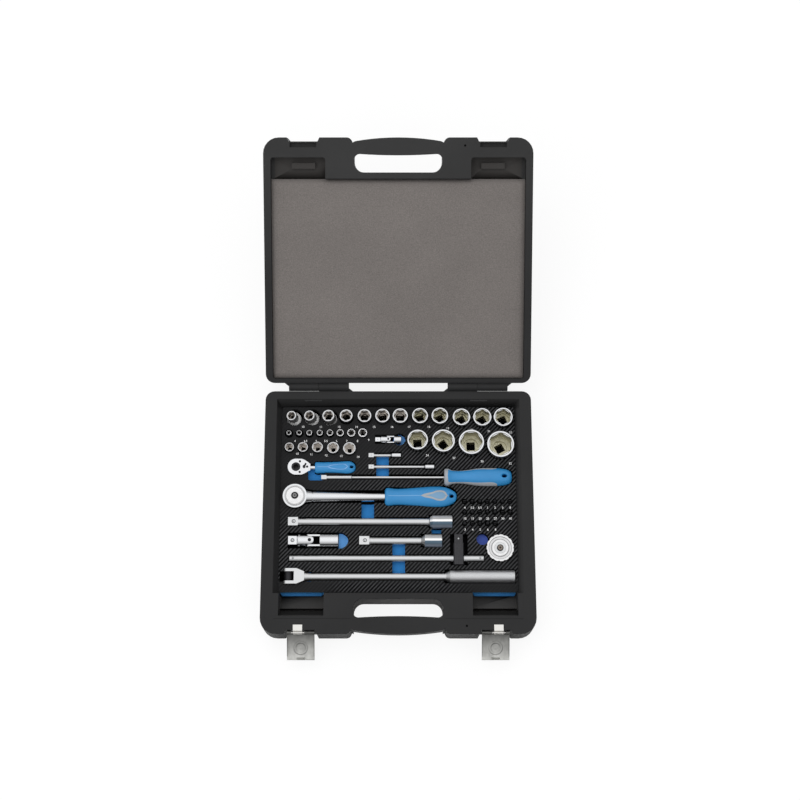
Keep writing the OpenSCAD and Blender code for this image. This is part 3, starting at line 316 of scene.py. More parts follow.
def moulded_case():
    """Black moulded plastic, with painted light and shade: the side pockets and the lid's far end are painted
    lighter, the ledge before each front pocket and the back wall's inside painted darker. The rim has a dark seam
    line."""
    f = Finish("moulded case plastic", CASE_BLACK, 0.6, Specular_IOR_Level=0.25)
    x, y, z = f.axes()
    out = f.math("ABSOLUTE", x)
    depth = f.math("SUBTRACT", f.math("MULTIPLY", z, LID_ACROSS[2]), f.math("MULTIPLY", y, -LID_ACROSS[1]))
    pocket = f.all_of(f.between(y, -0.170, -0.122, 0.004), f.below(z, 0.040, 0.050), f.below(out, 0.1784, 0.1790))
    ledge = f.all_of(f.between(y, -0.1590, -0.1455, 0.0008, 0.0005), f.between(z, 0.0440, 0.0480, 0.0010))
    seam = f.all_of(f.below(f.math("ABSOLUTE", f.math("ADD", y, 0.1646)), 0.0004, 0.0009),
                    f.between(out, 0.068, 0.186, 0.004, 0.002), f.between(z, 0.0510, 0.0530, 0.0005))
    back_wall_shade = f.all_of(f.between(y, 0.160, 0.1804, 0.004, 0.0004), f.below(z, 0.0512, 0.0519))
    lid_pocket_light = f.all_of(f.between(y, 0.486, 0.529, 0.002), f.below(out, 0.1880, 0.1890),
                          f.between(depth, LID_POCKET_DEPTH, LID_POCKET_DEPTH + 0.016, 0.003))
    # painted light: the front side pockets are painted lighter
    f.stain(pocket, (0.046, 0.0445, 0.043))
    # painted shade: the ledge before each front pocket is painted darker
    f.stain(ledge, (0.0060, 0.0060, 0.0060))
    f.stain(seam, (0.0080, 0.0080, 0.0082))
    # painted shade: the back wall's inside is painted darker
    f.stain(back_wall_shade, (0.0062, 0.0062, 0.0064))
    # painted light: the lid is painted lighter towards its far end
    f.stain(f.above(y, 0.320, 0.500), (0.0250, 0.0250, 0.0252))
    # painted light: the lid's pockets are painted lighter and warmer
    f.stain(lid_pocket_light, (0.0345, 0.0320, 0.0305))
    f.shade(f.grain(0.09, 2), 0.88, 1.12)
    leather = f.grain(0.0011, 4)
    f.rough(leather, 0.48, 0.68)
    f.soften(0.0011)
    f.bump(leather, 0.00025, 0.55)
    return f.mat


def lid_felt():
    f = Finish("grey felted foam", (0.142, 0.129, 0.122), 0.95, Specular_IOR_Level=0.1, Sheen_Weight=0.15)
    f.shade(f.grain(0.12, 2), 0.93, 1.07)
    f.cells(0.0016, 5, 0.72, 1.28, 0.0004, 0.7)
    return f.mat


def tray_skin():
    """Black foam whose pressed hatch shows towards the front and right and fades out at the left. Its
    front wall shows the blue layer below a thin black lip."""
    f = Finish("black tray foam", (0.0150, 0.0150, 0.0157), 0.8, Specular_IOR_Level=0.08)
    across = f.node("ShaderNodeSeparateXYZ", {0: f.stretched((1, 1, 1), (0, 0, HATCH_TURN))}).outputs[0]
    wave = f.math("PINGPONG", f.math("DIVIDE", across, HATCH_STEP), 1.0)
    x, y, z = f.axes()
    corner = f.all_of(f.below(y, -0.108, -0.102), f.ramp(f.math("ABSOLUTE", x), 0.080, 0.115, 0, 0.85))
    hatched = f.all_of(f.ramp(f.math("SUBTRACT", x, f.math("MULTIPLY", y, 1.6)), -0.200, -0.120, 0.08, 1),
                       f.math("SUBTRACT", 1.0, corner))
    broken = f.ramp(f.grain(0.0035, 2), 0.3, 0.65, 0.6, 1)
    top = f.above(z, TRAY_Z - 0.0012, TRAY_Z - 0.0006)
    f.stain(hatched, (0.0006, 0.0006, 0.0008))
    f.stain(f.all_of(f.above(wave, 0.38, 0.76), hatched, broken, top), (0.0540, 0.0550, 0.0575))
    f.stain(f.all_of(f.below(y, -0.1236, -0.1233), f.below(z, 0.0380, 0.0384)), (0.050, 0.235, 0.480))
    f.cells(0.0007, 3, 0.85, 1.15, 0.0002, 0.4)
    return f.mat


def tray_blue():
    """Blue foam with painted light and shade: the two recesses beside the joints are painted lighter, the palm
    ratchet's recess and the front shelf painted darker."""
    f = Finish("blue tray foam", TRAY_BLUE_RGB, 0.8, Specular_IOR_Level=0.2)
    x, y, z = f.axes()

    def spot(left, right, front, back):
        return f.all_of(f.between(x, left, right, 0.0005), f.between(y, front, back, 0.0005))

    # painted light: the two recesses beside the joints are painted lighter
    f.stain(spot(-0.092, -0.060, -0.062, -0.028), LIT_BLUE_RGB)
    f.stain(spot(-0.010, 0.030, 0.098, 0.126), LIT_BLUE_RGB)
    # painted shade: the palm ratchet's recess is painted darker
    f.stain(spot(0.100, 0.140, -0.062, -0.028), (0.075, 0.125, 0.480))
    # painted shade: the front shelf is painted a darker blue
    f.stain(f.below(y, -0.1240, -0.1237), SHADED_SHELF_BLUE_RGB)
    f.cells(0.0008, 4, 0.88, 1.12, 0.00025, 0.6)
    return f.mat


def pocket_shade_black():
    # painted shade: the tools' pockets, cut in the blue foam, are painted near black; before the shelf they take its
    # shaded blue
    f = Finish("pocket foam painted black as shade", (0.0040, 0.0040, 0.0046), 0.9, Specular_IOR_Level=0.1)
    f.stain(f.below(f.axes()[1], -0.1238, -0.1236), SHADED_SHELF_BLUE_RGB)
    f.cells(0.0009, 3, 0.8, 1.2, 0.0002, 0.4)
    return f.mat


def socket_bore():
    """The dull warm face left inside a socket, polished only at its mouth."""
    f = Finish("plated bore", BORE_RGB, 0.40, 0.8)
    # painted shade: the walls are painted darker towards the mouth, the floor keeps its full tone
    f.dim(f.ramp(f.axes()[2], 0.030, 0.049, 1.0, 0.45))
    f.shade(f.grain(0.004, 3), 0.82, 1.15)
    f.rough(f.grain(0.0012, 3), 0.36, 0.52)
    return f.mat


def small_bore(name, color, metal):
    """The inside of a small socket: plated, with random dark and bright patches as painted reflections."""
    f = Finish(name, color, 0.26, metal)
    f.shade(f.grain(0.003, 3), 0.80, 1.2)
    return f.mat


def shoulder_shade_and_highlight():
    """The body of a leaning socket, painted by height: painted shade on its flank and a painted highlight on
    the round shoulder it ends in.
    """
    f = Finish("plated shoulder with painted shade and highlight", (0.9, 0.9, 0.92), 0.35, 0.15)
    f.paint(f.grey(f.ramp(f.axes()[2], 0.0342, 0.0362, 1.0, 0.08)))
    f.shade(f.grain(0.003, 3), 0.80, 1.2)
    return f.mat


def socket_end_reflections(name, middle, radius):
    """Polished extension end with painted reflections: grey above, one bright streak, dark blue-green below."""
    f = Finish(name, (0.7, 0.7, 0.7), 0.25, 0.30)
    across = f.above(f.axes()[1], (middle - radius) * MM, (middle + radius) * MM)
    teal_reflection = (0.070, 0.115, 0.160)
    f.paint(f.bands(across, [(0, (0.16, 0.19, 0.24)), (0.10, (0.12, 0.15, 0.19)), (0.16, teal_reflection), (0.40, teal_reflection),
                             (0.47, 0.95), (0.58, 1.0), (0.66, 0.42), (0.80, 0.38), (0.90, 0.50), (1, 0.40)]))
    f.shade(f.grain(0.004, 3, f.stretched((0.15, 1, 1))), 0.9, 1.1)
    return f.mat


def ribbed_black():
    f = Finish("ribbed black steel", (0.050, 0.050, 0.054), 0.40, 0.7)
    rib = f.math("PINGPONG", f.math("DIVIDE", f.axes()[0], 0.0013), 1.0)
    f.bump(f.above(rib, 0.25, 0.75), 0.0004, 0.8)
    f.shade(f.grain(0.003, 3), 0.8, 1.2)
    return f.mat


def polished_chrome():
    f = Finish("polished chrome", (0.78, 0.79, 0.81), 0.07, 1.0)
    f.rough(f.grain(0.006, 4), 0.07, 0.2)
    f.bump(f.grain(0.0012, 2), 0.00001, 0.25)
    return f.mat


def satin_metal(name, color, low, high, metallic=1.0):
    """Ground metal with a fine grain along x, its roughness between low and high."""
    f = Finish(name, color, low, metallic)
    grind = f.grain(0.0004, 3, f.stretched((0.12, 1, 1)))
    f.rough(grind, low, high)
    f.bump(grind, 0.00002, 0.35)
    return f.mat


def dark_steel(name, color, rough):
    f = Finish(name, color, rough, 0.85)
    f.rough(f.grain(0.002, 4), rough - 0.1, rough + 0.1)
    f.shade(f.grain(0.005, 3), 0.8, 1.25)
    return f.mat


def grip_plastic(name, color, rough=0.36):
    """The finish of moulded grip plastic, to add colours to."""
    f = Finish(name, color, rough, Specular_IOR_Level=0.45, Coat_Weight=0.1)
    f.rough(f.grain(0.003, 3), rough - 0.05, rough + 0.1)
    f.bump(f.grain(0.0007, 3), 0.00005, 0.4)
    return f


CURVE_TOP = 20      # the half width that a curve's 1 stands for, in millimetres


def two_colour_grip(name, x0, y0, length, inlays, seam=None):
    """Blue grip with moulded inlays. Each inlay is (points, tint, outside): its edge as (distance along
    the grip, half width) in millimetres, its colour, and whether it lies outside that edge. The seam is
    the part of the length, in 0..1, where the parting line shows."""
    f = grip_plastic(name, BLUE_RGB)
    x, y, z = f.axes()
    along = f.math("DIVIDE", f.math("SUBTRACT", x, x0 * MM), length * MM)
    side = f.math("ABSOLUTE", f.math("SUBTRACT", y, y0 * MM))
    for points, tint, outside in inlays:
        half_width = f.curve(along, [(d / length, w / CURVE_TOP) for d, w in points])
        edge = f.math("SUBTRACT", side, f.math("MULTIPLY", half_width, CURVE_TOP * MM))
        mask = (f.above if outside else f.below)(edge, -0.00018, 0.00018)
        f.stain(mask, tint)
        f.bump(mask, 0.0004, 0.6)
    if seam:
        f.stain(f.all_of(f.below(side, 0.00025, 0.00050), f.between(along, *seam, 0.02, 0.01)), SEAM_RGB)
    f.shade(f.grain(0.03, 2), 0.94, 1.06)
    return f.mat


def turned_metal(name, centre, stops, rough=0.2):
    """Machined metal whose steps and recesses run round an upright axis. Its colour is painted in rings; the
    darker rings in grooves, round buttons and in centre holes are painted shade.
    """
    f = Finish(name, (0.7, 0.7, 0.7), rough, 1.0)
    f.paint(f.rings(centre, stops))
    f.shade(f.grain(0.006, 3), 0.93, 1.07)
    f.rough(f.grain(0.002, 4), rough - 0.06, rough + 0.10)
    f.bump(f.grain(0.0012, 2), 0.00001, 0.25)
    return f.mat


def latch_metal(name, middle):
    """Dull nickel plate, painted darker towards the rod as painted shade, with a plain ring pressed into its middle.
    """
    f = Finish(name, (0.33, 0.33, 0.31), 0.36, 1.0)
    x, y, z = f.axes()
    along = f.math("SUBTRACT", LATCH_ROD_Y, y)
    smear = f.grain(0.009, 3, f.stretched((1, 0.5, 1), (0, 0, 0.6)))
    # painted shade: the tone darkens towards the rod
    tone = f.math("MULTIPLY", f.ramp(along, 0.004, 0.036, 0.14, 0.55), f.ramp(smear, 0.3, 0.7, 0.84, 1.16))
    f.paint(f.node("ShaderNodeCombineColor", {0: tone, 1: tone, 2: f.math("MULTIPLY", tone, 0.96)}).outputs[0])
    f.rough(f.grain(0.0014, 4), 0.30, 0.46)
    far = f.reach(f.math("SUBTRACT", x, middle * MM), f.math("MULTIPLY", f.math("SUBTRACT", along, 0.0215), 1.08))
    ring = f.math("SUBTRACT", f.above(far, 0.0062, 0.0078), f.above(far, 0.0094, 0.0110))
    dish = f.below(far, 0.0, 0.0035)
    f.bump(f.math("ADD", ring, f.math("MULTIPLY", dish, 0.7)), 0.0007, 0.9)
    return f.mat


def printed_white():
    f = Finish("printed white", (0.75, 0.75, 0.75), 0.6)
    f.shade(f.grain(0.0009, 3), 0.8, 1.1)
    return f.mat


CASE = moulded_case()
MARK = grip_plastic("worn rib plastic", (0.030, 0.030, 0.031), 0.6).mat
GATE = Finish("gate mark", (0.0008, 0.0008, 0.0008), 0.9, Specular_IOR_Level=0.0).mat
FELT = lid_felt()
SKIN = tray_skin()
BLUE = tray_blue()
CHROME = polished_chrome()
SATIN = satin_metal("satin chrome", (0.70, 0.71, 0.72), 0.26, 0.38)
NICKEL = satin_metal("satin nickel", (0.80, 0.79, 0.76), 0.3, 0.42)
STEEL = satin_metal("plain steel", (0.42, 0.43, 0.44), 0.25, 0.4)
KNURLED = satin_metal("knurled steel", (0.55, 0.55, 0.58), 0.38, 0.5)
# painted highlight: the small sockets' upward rim faces get a near-white, mostly non-metal colour
HIGHLIT_RIM = satin_metal("socket rim painted highlight", (0.95, 0.95, 0.96), 0.3, 0.4, 0.35)
DARK = dark_steel("black oxide steel", (0.028, 0.028, 0.031), 0.38)
BIT = dark_steel("black bit steel", (0.018, 0.018, 0.020), 0.42)
LEVER_LEFT, LEVER_RIGHT = latch_metal("left latch plate", -LATCH_X), latch_metal("right latch plate", LATCH_X)
PALM = turned_metal("palm ratchet", PALM_AXIS, [
    (0, 0.03), (5.2, 0.03), (5.6, 0.74), (11.6, 0.80), (12.6, 0.55), (13.2, 0.30), (13.8, 0.60), (16.2, 0.68),
    (16.9, 0.40), (17.5, 0.74), (20, 0.80), (21, 0.60)])
PALM_BUTTON = turned_metal("palm ratchet button", PALM_AXIS, [
    (0, 0.04), (1.5, 0.05), (1.7, (0.24, 0.20, 0.17)), (3.4, (0.27, 0.23, 0.20)), (3.7, 0.04), (6, 0.03)], 0.35)
DIAL = turned_metal("ratchet dial", DIAL_AXIS, [
    (0, 0.03), (5.2, 0.03), (5.6, 0.70), (7.0, 0.80), (12.8, 0.80), (13.5, 0.66), (14.2, 0.80), (15.2, 0.76),
    (16, 0.55)], 0.18)
DIAL_BUTTON = turned_metal("ratchet button", DIAL_AXIS, [
    (0, 0.03), (1.1, 0.04), (1.3, 0.22), (2.9, 0.26), (3.3, 0.05), (4, 0.03)], 0.35)
WHITE = printed_white()
POCKET_SHADE = pocket_shade_black()
BORE = socket_bore()
SMALL_BORE = small_bore("small plated bore", (0.58, 0.54, 0.50), 0.75)
# painted shade: the small quarter-inch sockets' insides are painted dark
SHADED_BORE = small_bore("deep plated bore", (0.20, 0.19, 0.18), 1.0)
SHOULDER_SHADE_AND_HIGHLIGHT = shoulder_shade_and_highlight()
END_LONG = socket_end_reflections("long extension end", -15.5, 7.6)
END_SHORT = socket_end_reflections("short extension end", -44.9, 7.6)
RIBBED = ribbed_black()

# ---------------------------------------------------------------- floor and backdrop

FLOOR_HALF, FLOOR_Z = 9, -0.0002
floor_mesh = bpy.data.meshes.new("studio floor")
floor_mesh.from_pydata([(x * FLOOR_HALF, y * FLOOR_HALF, FLOOR_Z) for x, y in ((-1, -1), (1, -1), (1, 1), (-1, 1))],
                       [], [(0, 1, 2, 3)])
floor = placed("studio floor", floor_mesh)
paper = Finish("white paper", (0.93, 0.93, 0.93), 0.9, Specular_IOR_Level=0.0)
paper.shade(paper.grain(0.4, 1), 0.995, 1.005)
glow = paper.node("ShaderNodeEmission", {"Color": (1, 1, 1, 1), "Strength": 1.0})
seen = paper.math("MULTIPLY", paper.node("ShaderNodeLightPath").outputs["Is Camera Ray"], 0.86)
both = paper.node("ShaderNodeMixShader", {0: seen, 1: paper.shader.outputs[0], 2: glow.outputs[0]})
paper.tree.links.new(both.outputs[0], paper.tree.nodes["Material Output"].inputs[0])
floor_mesh.materials.append(paper.mat)

world = bpy.data.worlds.new("studio")
scene.world = world
world.use_nodes = True
sky = world.node_tree
dome = sky.nodes["Background"]
dome.inputs["Color"].default_value = (1, 1, 1, 1)
dome.inputs["Strength"].default_value = 0.95
# what polished metal mirrors: a bright ceiling above and behind the case, darker at the walls
CEILING = (-0.06, 0.26, 0.964)
looking = add_node(sky, "ShaderNodeTexCoord").outputs["Generated"]
up = add_node(sky, "ShaderNodeVectorMath", {0: looking, 1: CEILING}, operation="DOT_PRODUCT").outputs["Value"]
ceiling = add_node(sky, "ShaderNodeMapRange", {"Value": up, "From Min": 0.15, "From Max": 0.97,
                                               "To Min": 0.06, "To Max": 1.36}).outputs[0]
mirrored = add_node(sky, "ShaderNodeBackground", {"Strength": ceiling}).outputs[0]
backdrop = add_node(sky, "ShaderNodeBackground", {"Strength": 1.0}).outputs[0]
path = add_node(sky, "ShaderNodeLightPath").outputs
round_about = add_node(sky, "ShaderNodeMixShader", {0: path["Is Glossy Ray"], 1: dome.outputs[0], 2: mirrored})
whole_sky = add_node(sky, "ShaderNodeMixShader", {0: path["Is Camera Ray"], 1: round_about.outputs[0], 2: backdrop})
sky.links.new(whole_sky.outputs[0], sky.nodes["World Output"].inputs[0])

# ---------------------------------------------------------------- carried-over nodes


def body_with(node):
    return next(b for b, nodes in frame["record"]["behaviour"]["bodies"].items() if node in nodes)


def slot_with(node):
    return next(s["material_slot"] for s in frame["record"]["subparts"] if s["node"] == node)


def new_piece(name, mesh, node, materials=()):
    """A finished piece that rides with a node."""
    for mat in materials:
        mesh.materials.append(mat)
    ob = placed(name, mesh)
    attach(ob, body_with(node))
    slot_with(node)
    return ob


# pieces with ring-shaped faces, which are split before their edges are broken
RINGED = {"breaker_bar", "spinner_shaft", "palm_ratchet_drive", "extension_half_long", "extension_half_short",
          "extension_quarter_long", "extension_quarter_short"}
SHARP = math.radians(34)        # an edge that turns more than this is broken


def broken_edges(node, mat, edge, choose=None, others=()):
    """A copy of a node with its sharp edges broken, as a machined or moulded part has. choose(face)
    gives the index of each face's material among mat and the others."""
    mesh = frame["nodes"][node].data.copy()
    mesh.name = node + " finished"
    mesh.materials.clear()
    bm = bmesh.new()
    bm.from_mesh(mesh)
    bmesh.ops.remove_doubles(bm, verts=bm.verts, dist=2e-6)
    bmesh.ops.dissolve_limit(bm, angle_limit=math.radians(0.6), verts=bm.verts, edges=bm.edges)
    if node in RINGED:
        bmesh.ops.triangulate(bm, faces=[face for face in bm.faces if len(face.verts) > 4])
    bm.normal_update()
    for face in bm.faces:
        face.material_index = choose(face) if choose else 0
    bm.to_mesh(mesh)
    bm.free()
    mesh.shade_smooth()
    ob = new_piece(node + "_finished", mesh, node, [mat, *others])
    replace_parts(ob, node)
    if edge:
        cut = ob.modifiers.new("broken edges", "BEVEL")
        cut.width, cut.segments, cut.limit_method = edge, 2, "ANGLE"
        cut.angle_limit = SHARP
        cut.use_clamp_overlap = True
        cut.miter_outer = "MITER_SHARP"
    else:
        mesh.set_sharp_from_angle(angle=SHARP)
    weights = ob.modifiers.new("face weighted normals", "WEIGHTED_NORMAL")
    weights.keep_sharp = not edge


def tray_face(face):
    """Blue on the front shelf and in the finger recesses; the tools' pockets get a near-black painted shade."""
    c = face.calc_center_median()
    recess_floor = abs(c.z - POCKET_FLOOR) < 0.0001 and face.normal.z > 0.9
    recess_wall = POCKET_FLOOR < c.z < BLUE_TOP - 0.00005
    return 0 if c.y < SHELF_Y or recess_floor or recess_wall else 1


# Where the sockets' axes are at their mouths, in millimetres; the half-inch ones by size
HALF_AXES = {10: (-164.9, 149), 11: (-137.2, 149), 13: (-107.9, 149), 14: (-80.4, 149), 15: (-52.1, 149),
             16: (-24.4, 149), 17: (3, 149), 18: (33.5, 149), 19: (64.1, 149), 20: (97.4, 147),
             21: (129.5, 147), 22: (161.8, 147), 24: (29.7, 110.4), 27: (69.1, 108.6),
             30: (112.1, 106.4), 32: (156.8, 102.9)}
SMALL_AXES = [(x, 122.8) for x in (-168.4, -152.6, -136.9, -120.9, -105.2, -89.4, -72.4, -54.8)]
LARGE_AXES = [(-167.2, 100), (-146.5, 100), (-124.1, 100), (-100.1, 99), (-75, 98)]
RIM_Z, SHOULDER_Z = 42 * MM, 44 * MM        # above these lie a small socket's rim and a leaning one's mouth


def bore_face(axes, bore, lean=0.0, rim=False):
    """Tells a socket's inner faces, which look at its axis and get the second material, from its outside.
    The third goes to the body of a leaning socket, or to the rim if asked. bore is the hole's radius."""
    def choose(face):
        c = face.calc_center_median()
        x, y = min(axes, key=lambda a: (a[0] * MM - c.x) ** 2 + (a[1] * MM - c.y) ** 2)
        middle_x, middle_y = x * MM + math.tan(lean) * (SOCKET_TOP - c.z), y * MM
        out = Vector((c.x - middle_x, c.y - middle_y, 0))
        reach = max(math.hypot(v.co.x - middle_x, v.co.y - middle_y) for v in face.verts)
        floor_of_bore = face.normal.z > 0.7 and c.z < TRAY_Z and reach < bore
        if out.dot(face.normal) < -0.25 * out.length or floor_of_bore:
            return 1
        if rim:
            return 2 if face.normal.z > 0.5 and c.z > RIM_Z else 0
        return 2 if lean and (c.z < SHOULDER_Z or face.normal.z < 0.6) else 0
    return choose


SCREWS, SCREW_R = [(-150.7, 77.9), (-150.7, 61.1), (-139.5, 69.5)], 1.9


def screw_face(face):
    """Dark for the heads of the quarter-inch ratchet's three screws."""
    c = face.calc_center_median()
    return 1 if any(math.hypot(c.x - x * MM, c.y - y * MM) < SCREW_R * MM for x, y in SCREWS) else 0


# material: (how wide its edges are broken, in metres; its nodes)
FINISHES = {
    CASE: (0, ["case_base", "case_lid"]),
    SKIN: (0.0004, ["tray_top"]),
    NICKEL: (0.0003, ["latch_brackets"]),
    LEVER_LEFT: (0.0003, ["latch_lever_left"]),
    LEVER_RIGHT: (0.0003, ["latch_lever_right"]),
    PALM: (0.0006, ["palm_ratchet_body"]),
    PALM_BUTTON: (0.0005, ["palm_ratchet_button"]),
    DIAL: (0.0005, ["ratchet_half_dial"]),
    DIAL_BUTTON: (0.0005, ["ratchet_half_button"]),
    CHROME: (0.00035, ["ratchet_half_body", "ratchet_quarter_body", "joint_half_plug_yoke",
                       "joint_half_socket_yoke", "joint_quarter_plug_yoke", "joint_quarter_socket_yoke"]),
    SATIN: (0.00035, ["spinner_shaft", "tbar_rod", "palm_ratchet_drive"]),
    STEEL: (0.0002, ["hinge_pins", "ratchet_half_pawl", "breaker_pin"]),
    DARK: (0.0005, ["breaker_head", "ratchet_half_drive", "ratchet_quarter_drive", "ratchet_quarter_selector",
                    "joint_half_cross", "joint_quarter_cross"]),
    RIBBED: (0.0005, ["tbar_slider"]),
    BIT: (0.00015, ["screwdriver_bits"]),
}
for mat, (edge, names) in FINISHES.items():
    for node in names:
        broken_edges(node, mat, edge)
broken_edges("tray_base", BLUE, 0.0, choose=tray_face, others=[POCKET_SHADE])
broken_edges("ratchet_quarter_cover", CHROME, 0.0002, choose=screw_face, others=[DARK])
broken_edges("breaker_bar", SATIN, 0.0004)
# the extensions' socket ends, from the neck on
for node, neck, end in (("extension_half_long", 48, END_LONG), ("extension_half_short", 40, END_SHORT),
                        ("extension_quarter_long", 40, CHROME), ("extension_quarter_short", -11, CHROME)):
    broken_edges(node, SATIN, 0.00035, choose=lambda face, neck=neck: int(face.calc_center_median().x > neck * MM),
                 others=[end])
LEAN = {10: 9, 11: 9, 13: 5}        # degrees
FLAT_SHARE = 0.84       # a mouth's flats over its bore
for size, axis in HALF_AXES.items():
    broken_edges("socket_half_%d" % size, CHROME, 0.00035, others=[SMALL_BORE if size < 18 else BORE, SHOULDER_SHADE_AND_HIGHLIGHT],
                 choose=bore_face([axis], size / 2 / FLAT_SHARE * MM, math.radians(LEAN.get(size, 0))))
broken_edges("sockets_quarter_small", CHROME, 0.0002, others=[SHADED_BORE, HIGHLIT_RIM],
             choose=bore_face(SMALL_AXES, 6 * MM, rim=True))
broken_edges("sockets_quarter_large", CHROME, 0.0002, choose=bore_face(LARGE_AXES, 8.5 * MM), others=[SMALL_BORE])

# ---------------------------------------------------------------- knurled handle


def knurl_tree():
    """Geometry Nodes: rows of small pyramids round a bar along X, every second row half a step on."""
    tree = bpy.data.node_groups.new("diamond knurl", "GeometryNodeTree")
    face = tree.interface
    face.new_socket("Geometry", in_out="INPUT", socket_type="NodeSocketGeometry")
    for label in ("Start", "Length", "Radius", "Step", "Height", "Middle Y", "Middle Z"):
        face.new_socket(label, in_out="INPUT", socket_type="NodeSocketFloat")
    face.new_socket("Finish", in_out="INPUT", socket_type="NodeSocketMaterial")
    face.new_socket("Geometry", in_out="OUTPUT", socket_type="NodeSocketGeometry")

    def node(kind, inputs=None, **settings):
        return add_node(tree, kind, inputs, **settings)

    def calc(how, a, b=0.0):
        return node("ShaderNodeMath", {0: a, 1: b}, operation=how).outputs[0]

    given = node("NodeGroupInput").outputs
    length, radius, step = given["Length"], given["Radius"], given["Step"]
    turn = calc("MULTIPLY", radius, 2 * math.pi)
    rows, ring = calc("FLOOR", calc("DIVIDE", length, step)), calc("FLOOR", calc("DIVIDE", turn, step))
    index = node("GeometryNodeInputIndex").outputs[0]
    row = calc("FLOOR", calc("DIVIDE", calc("ADD", index, 0.5), ring))
    place = calc("SUBTRACT", index, calc("MULTIPLY", row, ring))
    angle = calc("MULTIPLY", calc("DIVIDE", calc("ADD", place, calc("MULTIPLY", calc("MODULO", row, 2.0), 0.5)), ring),
                 2 * math.pi)
    x = calc("ADD", given["Start"], calc("MULTIPLY", calc("DIVIDE", calc("ADD", row, 0.5), rows), length))
    side, up = calc("COSINE", angle), calc("SINE", angle)
    points = node("GeometryNodePoints", {"Count": calc("MULTIPLY", rows, ring), "Position": node(
        "ShaderNodeCombineXYZ", {0: x, 1: calc("ADD", given["Middle Y"], calc("MULTIPLY", side, radius)),
                                 2: calc("ADD", given["Middle Z"], calc("MULTIPLY", up, radius))}).outputs[0]})
    outward = node("ShaderNodeCombineXYZ", {0: 0.0, 1: side, 2: up}).outputs[0]
    pyramid = node("GeometryNodeMeshCone", {"Vertices": 4, "Side Segments": 1, "Fill Segments": 1, "Radius Top": 0.0,
                                            "Radius Bottom": calc("MULTIPLY", step, 0.62), "Depth": given["Height"]})
    spread = node("GeometryNodeInstanceOnPoints", {
        "Points": points.outputs[0], "Instance": pyramid.outputs["Mesh"],
        "Rotation": node("FunctionNodeAlignRotationToVector", {"Vector": outward}, axis="Z").outputs[0]})
    solid = node("GeometryNodeRealizeInstances", {0: spread.outputs[0]})
    done = node("GeometryNodeSetMaterial", {"Geometry": solid.outputs[0], "Material": given["Finish"]})
    node("NodeGroupOutput", {0: done.outputs[0]})
    return tree


def by_nodes(tree, values):
    """Runs a tree on an empty mesh, and gives its result as a plain mesh."""
    ob = placed("made by nodes", bpy.data.meshes.new("empty"))
    rule = ob.modifiers.new("rule", "NODES")
    rule.node_group = tree
    for item in tree.interface.items_tree:
        if item.in_out == "INPUT" and item.name in values:
            rule[item.identifier] = values[item.name]
    mesh = result_of(ob)
    ob.modifiers.remove(rule)
    bpy.data.objects.remove(ob)
    return mesh


knurl = by_nodes(knurl_tree(), {"Start": 78 * MM, "Length": 96 * MM, "Radius": 9.85 * MM, "Step": 1.25 * MM,
                                "Height": 0.30 * MM, "Middle Y": -99.5 * MM, "Middle Z": AXIS_Z, "Finish": KNURLED})
knurl.materials.clear()
new_piece("knurled_handle", knurl, "breaker_bar", [KNURLED])

# ---------------------------------------------------------------- detent balls

HALF_SQUARE, BALL_R, SEAT_W = 6.35, 2.0, 0.95
SEAT_LIFT = 0.03        # how far the dark rings lie above the metal
BALLS = [("extension_half_long", -158.5, -15.5), ("extension_half_short", -50.3, -44.9),
         ("joint_half_plug_yoke", -159.7, -44.8)]
SLIDER_BALL, SLIDER_BALL_R = (91 * MM, -42.3 * MM, AXIS_Z + 5.1 * MM), 2.05 * MM


def ball_seats():
    """The dark gap round each spring ball in a square."""
    for node, x, y in BALLS:
        bm = bmesh.new()
        z = AXIS_Z + (HALF_SQUARE + SEAT_LIFT) * MM
        inner, outer = ([bm.verts.new((px * MM, py * MM, z)) for px, py in circle(x, y, r, 28)]
                        for r in (BALL_R, BALL_R + SEAT_W))
        skin(bm, [outer, inner])
        new_piece(node + "_ball_seat", as_mesh(bm, node + " ball seat", outward=True), node, [DARK])


def slider_ball():
    """The plain steel ball that shows in the black slider's square."""
    bm = bmesh.new()
    bmesh.ops.create_uvsphere(bm, u_segments=24, v_segments=12, radius=SLIDER_BALL_R,
                              matrix=Matrix.Translation(SLIDER_BALL))
    mesh = as_mesh(bm, "slider ball")
    mesh.shade_smooth()
    new_piece("slider_ball", mesh, "tbar_slider", [SATIN])


ball_seats()
slider_ball()

# ---------------------------------------------------------------- grips, in millimetres

GRIP_SIDES, HOLE_SIDES = 64, 32
SQUARENESS, SQUARE_LIMIT = 2.3, 1.04        # 2 would be round; the limit keeps the corners inside the part


def smooth_profile(points, step=1.0):
    """Radii every step along a smooth curve through (distance, radius) points."""
    out = []
    for i in range(len(points) - 1):
        p0, p1, p2, p3 = (Vector(points[max(0, min(len(points) - 1, i + k))]) for k in (-1, 0, 1, 2))
        count = max(2, int((p2 - p1).length / step))
        for k in range(count):
            t = k / count
            out.append(0.5 * ((2 * p1) + (p2 - p0) * t + (2 * p0 - 5 * p1 + 4 * p2 - p3) * t * t
                              + (3 * p1 - p0 - 3 * p2 + p3) * t ** 3))
    return out + [Vector(points[-1])]


def grip_section(x, y, r, flat):
    """Points round a slightly squared section, flat times as high as it is wide."""
    points = []
    for k in range(GRIP_SIDES):
        a = 2 * math.pi * k / GRIP_SIDES
        c, s = math.cos(a), math.sin(a)
        grow = min((abs(c) ** SQUARENESS + abs(s) ** SQUARENESS) ** (-1 / SQUARENESS), SQUARE_LIMIT)
        points.append((x * MM, (y + r * c * grow) * MM, AXIS_Z + flat * r * s * grow * MM))
    return points


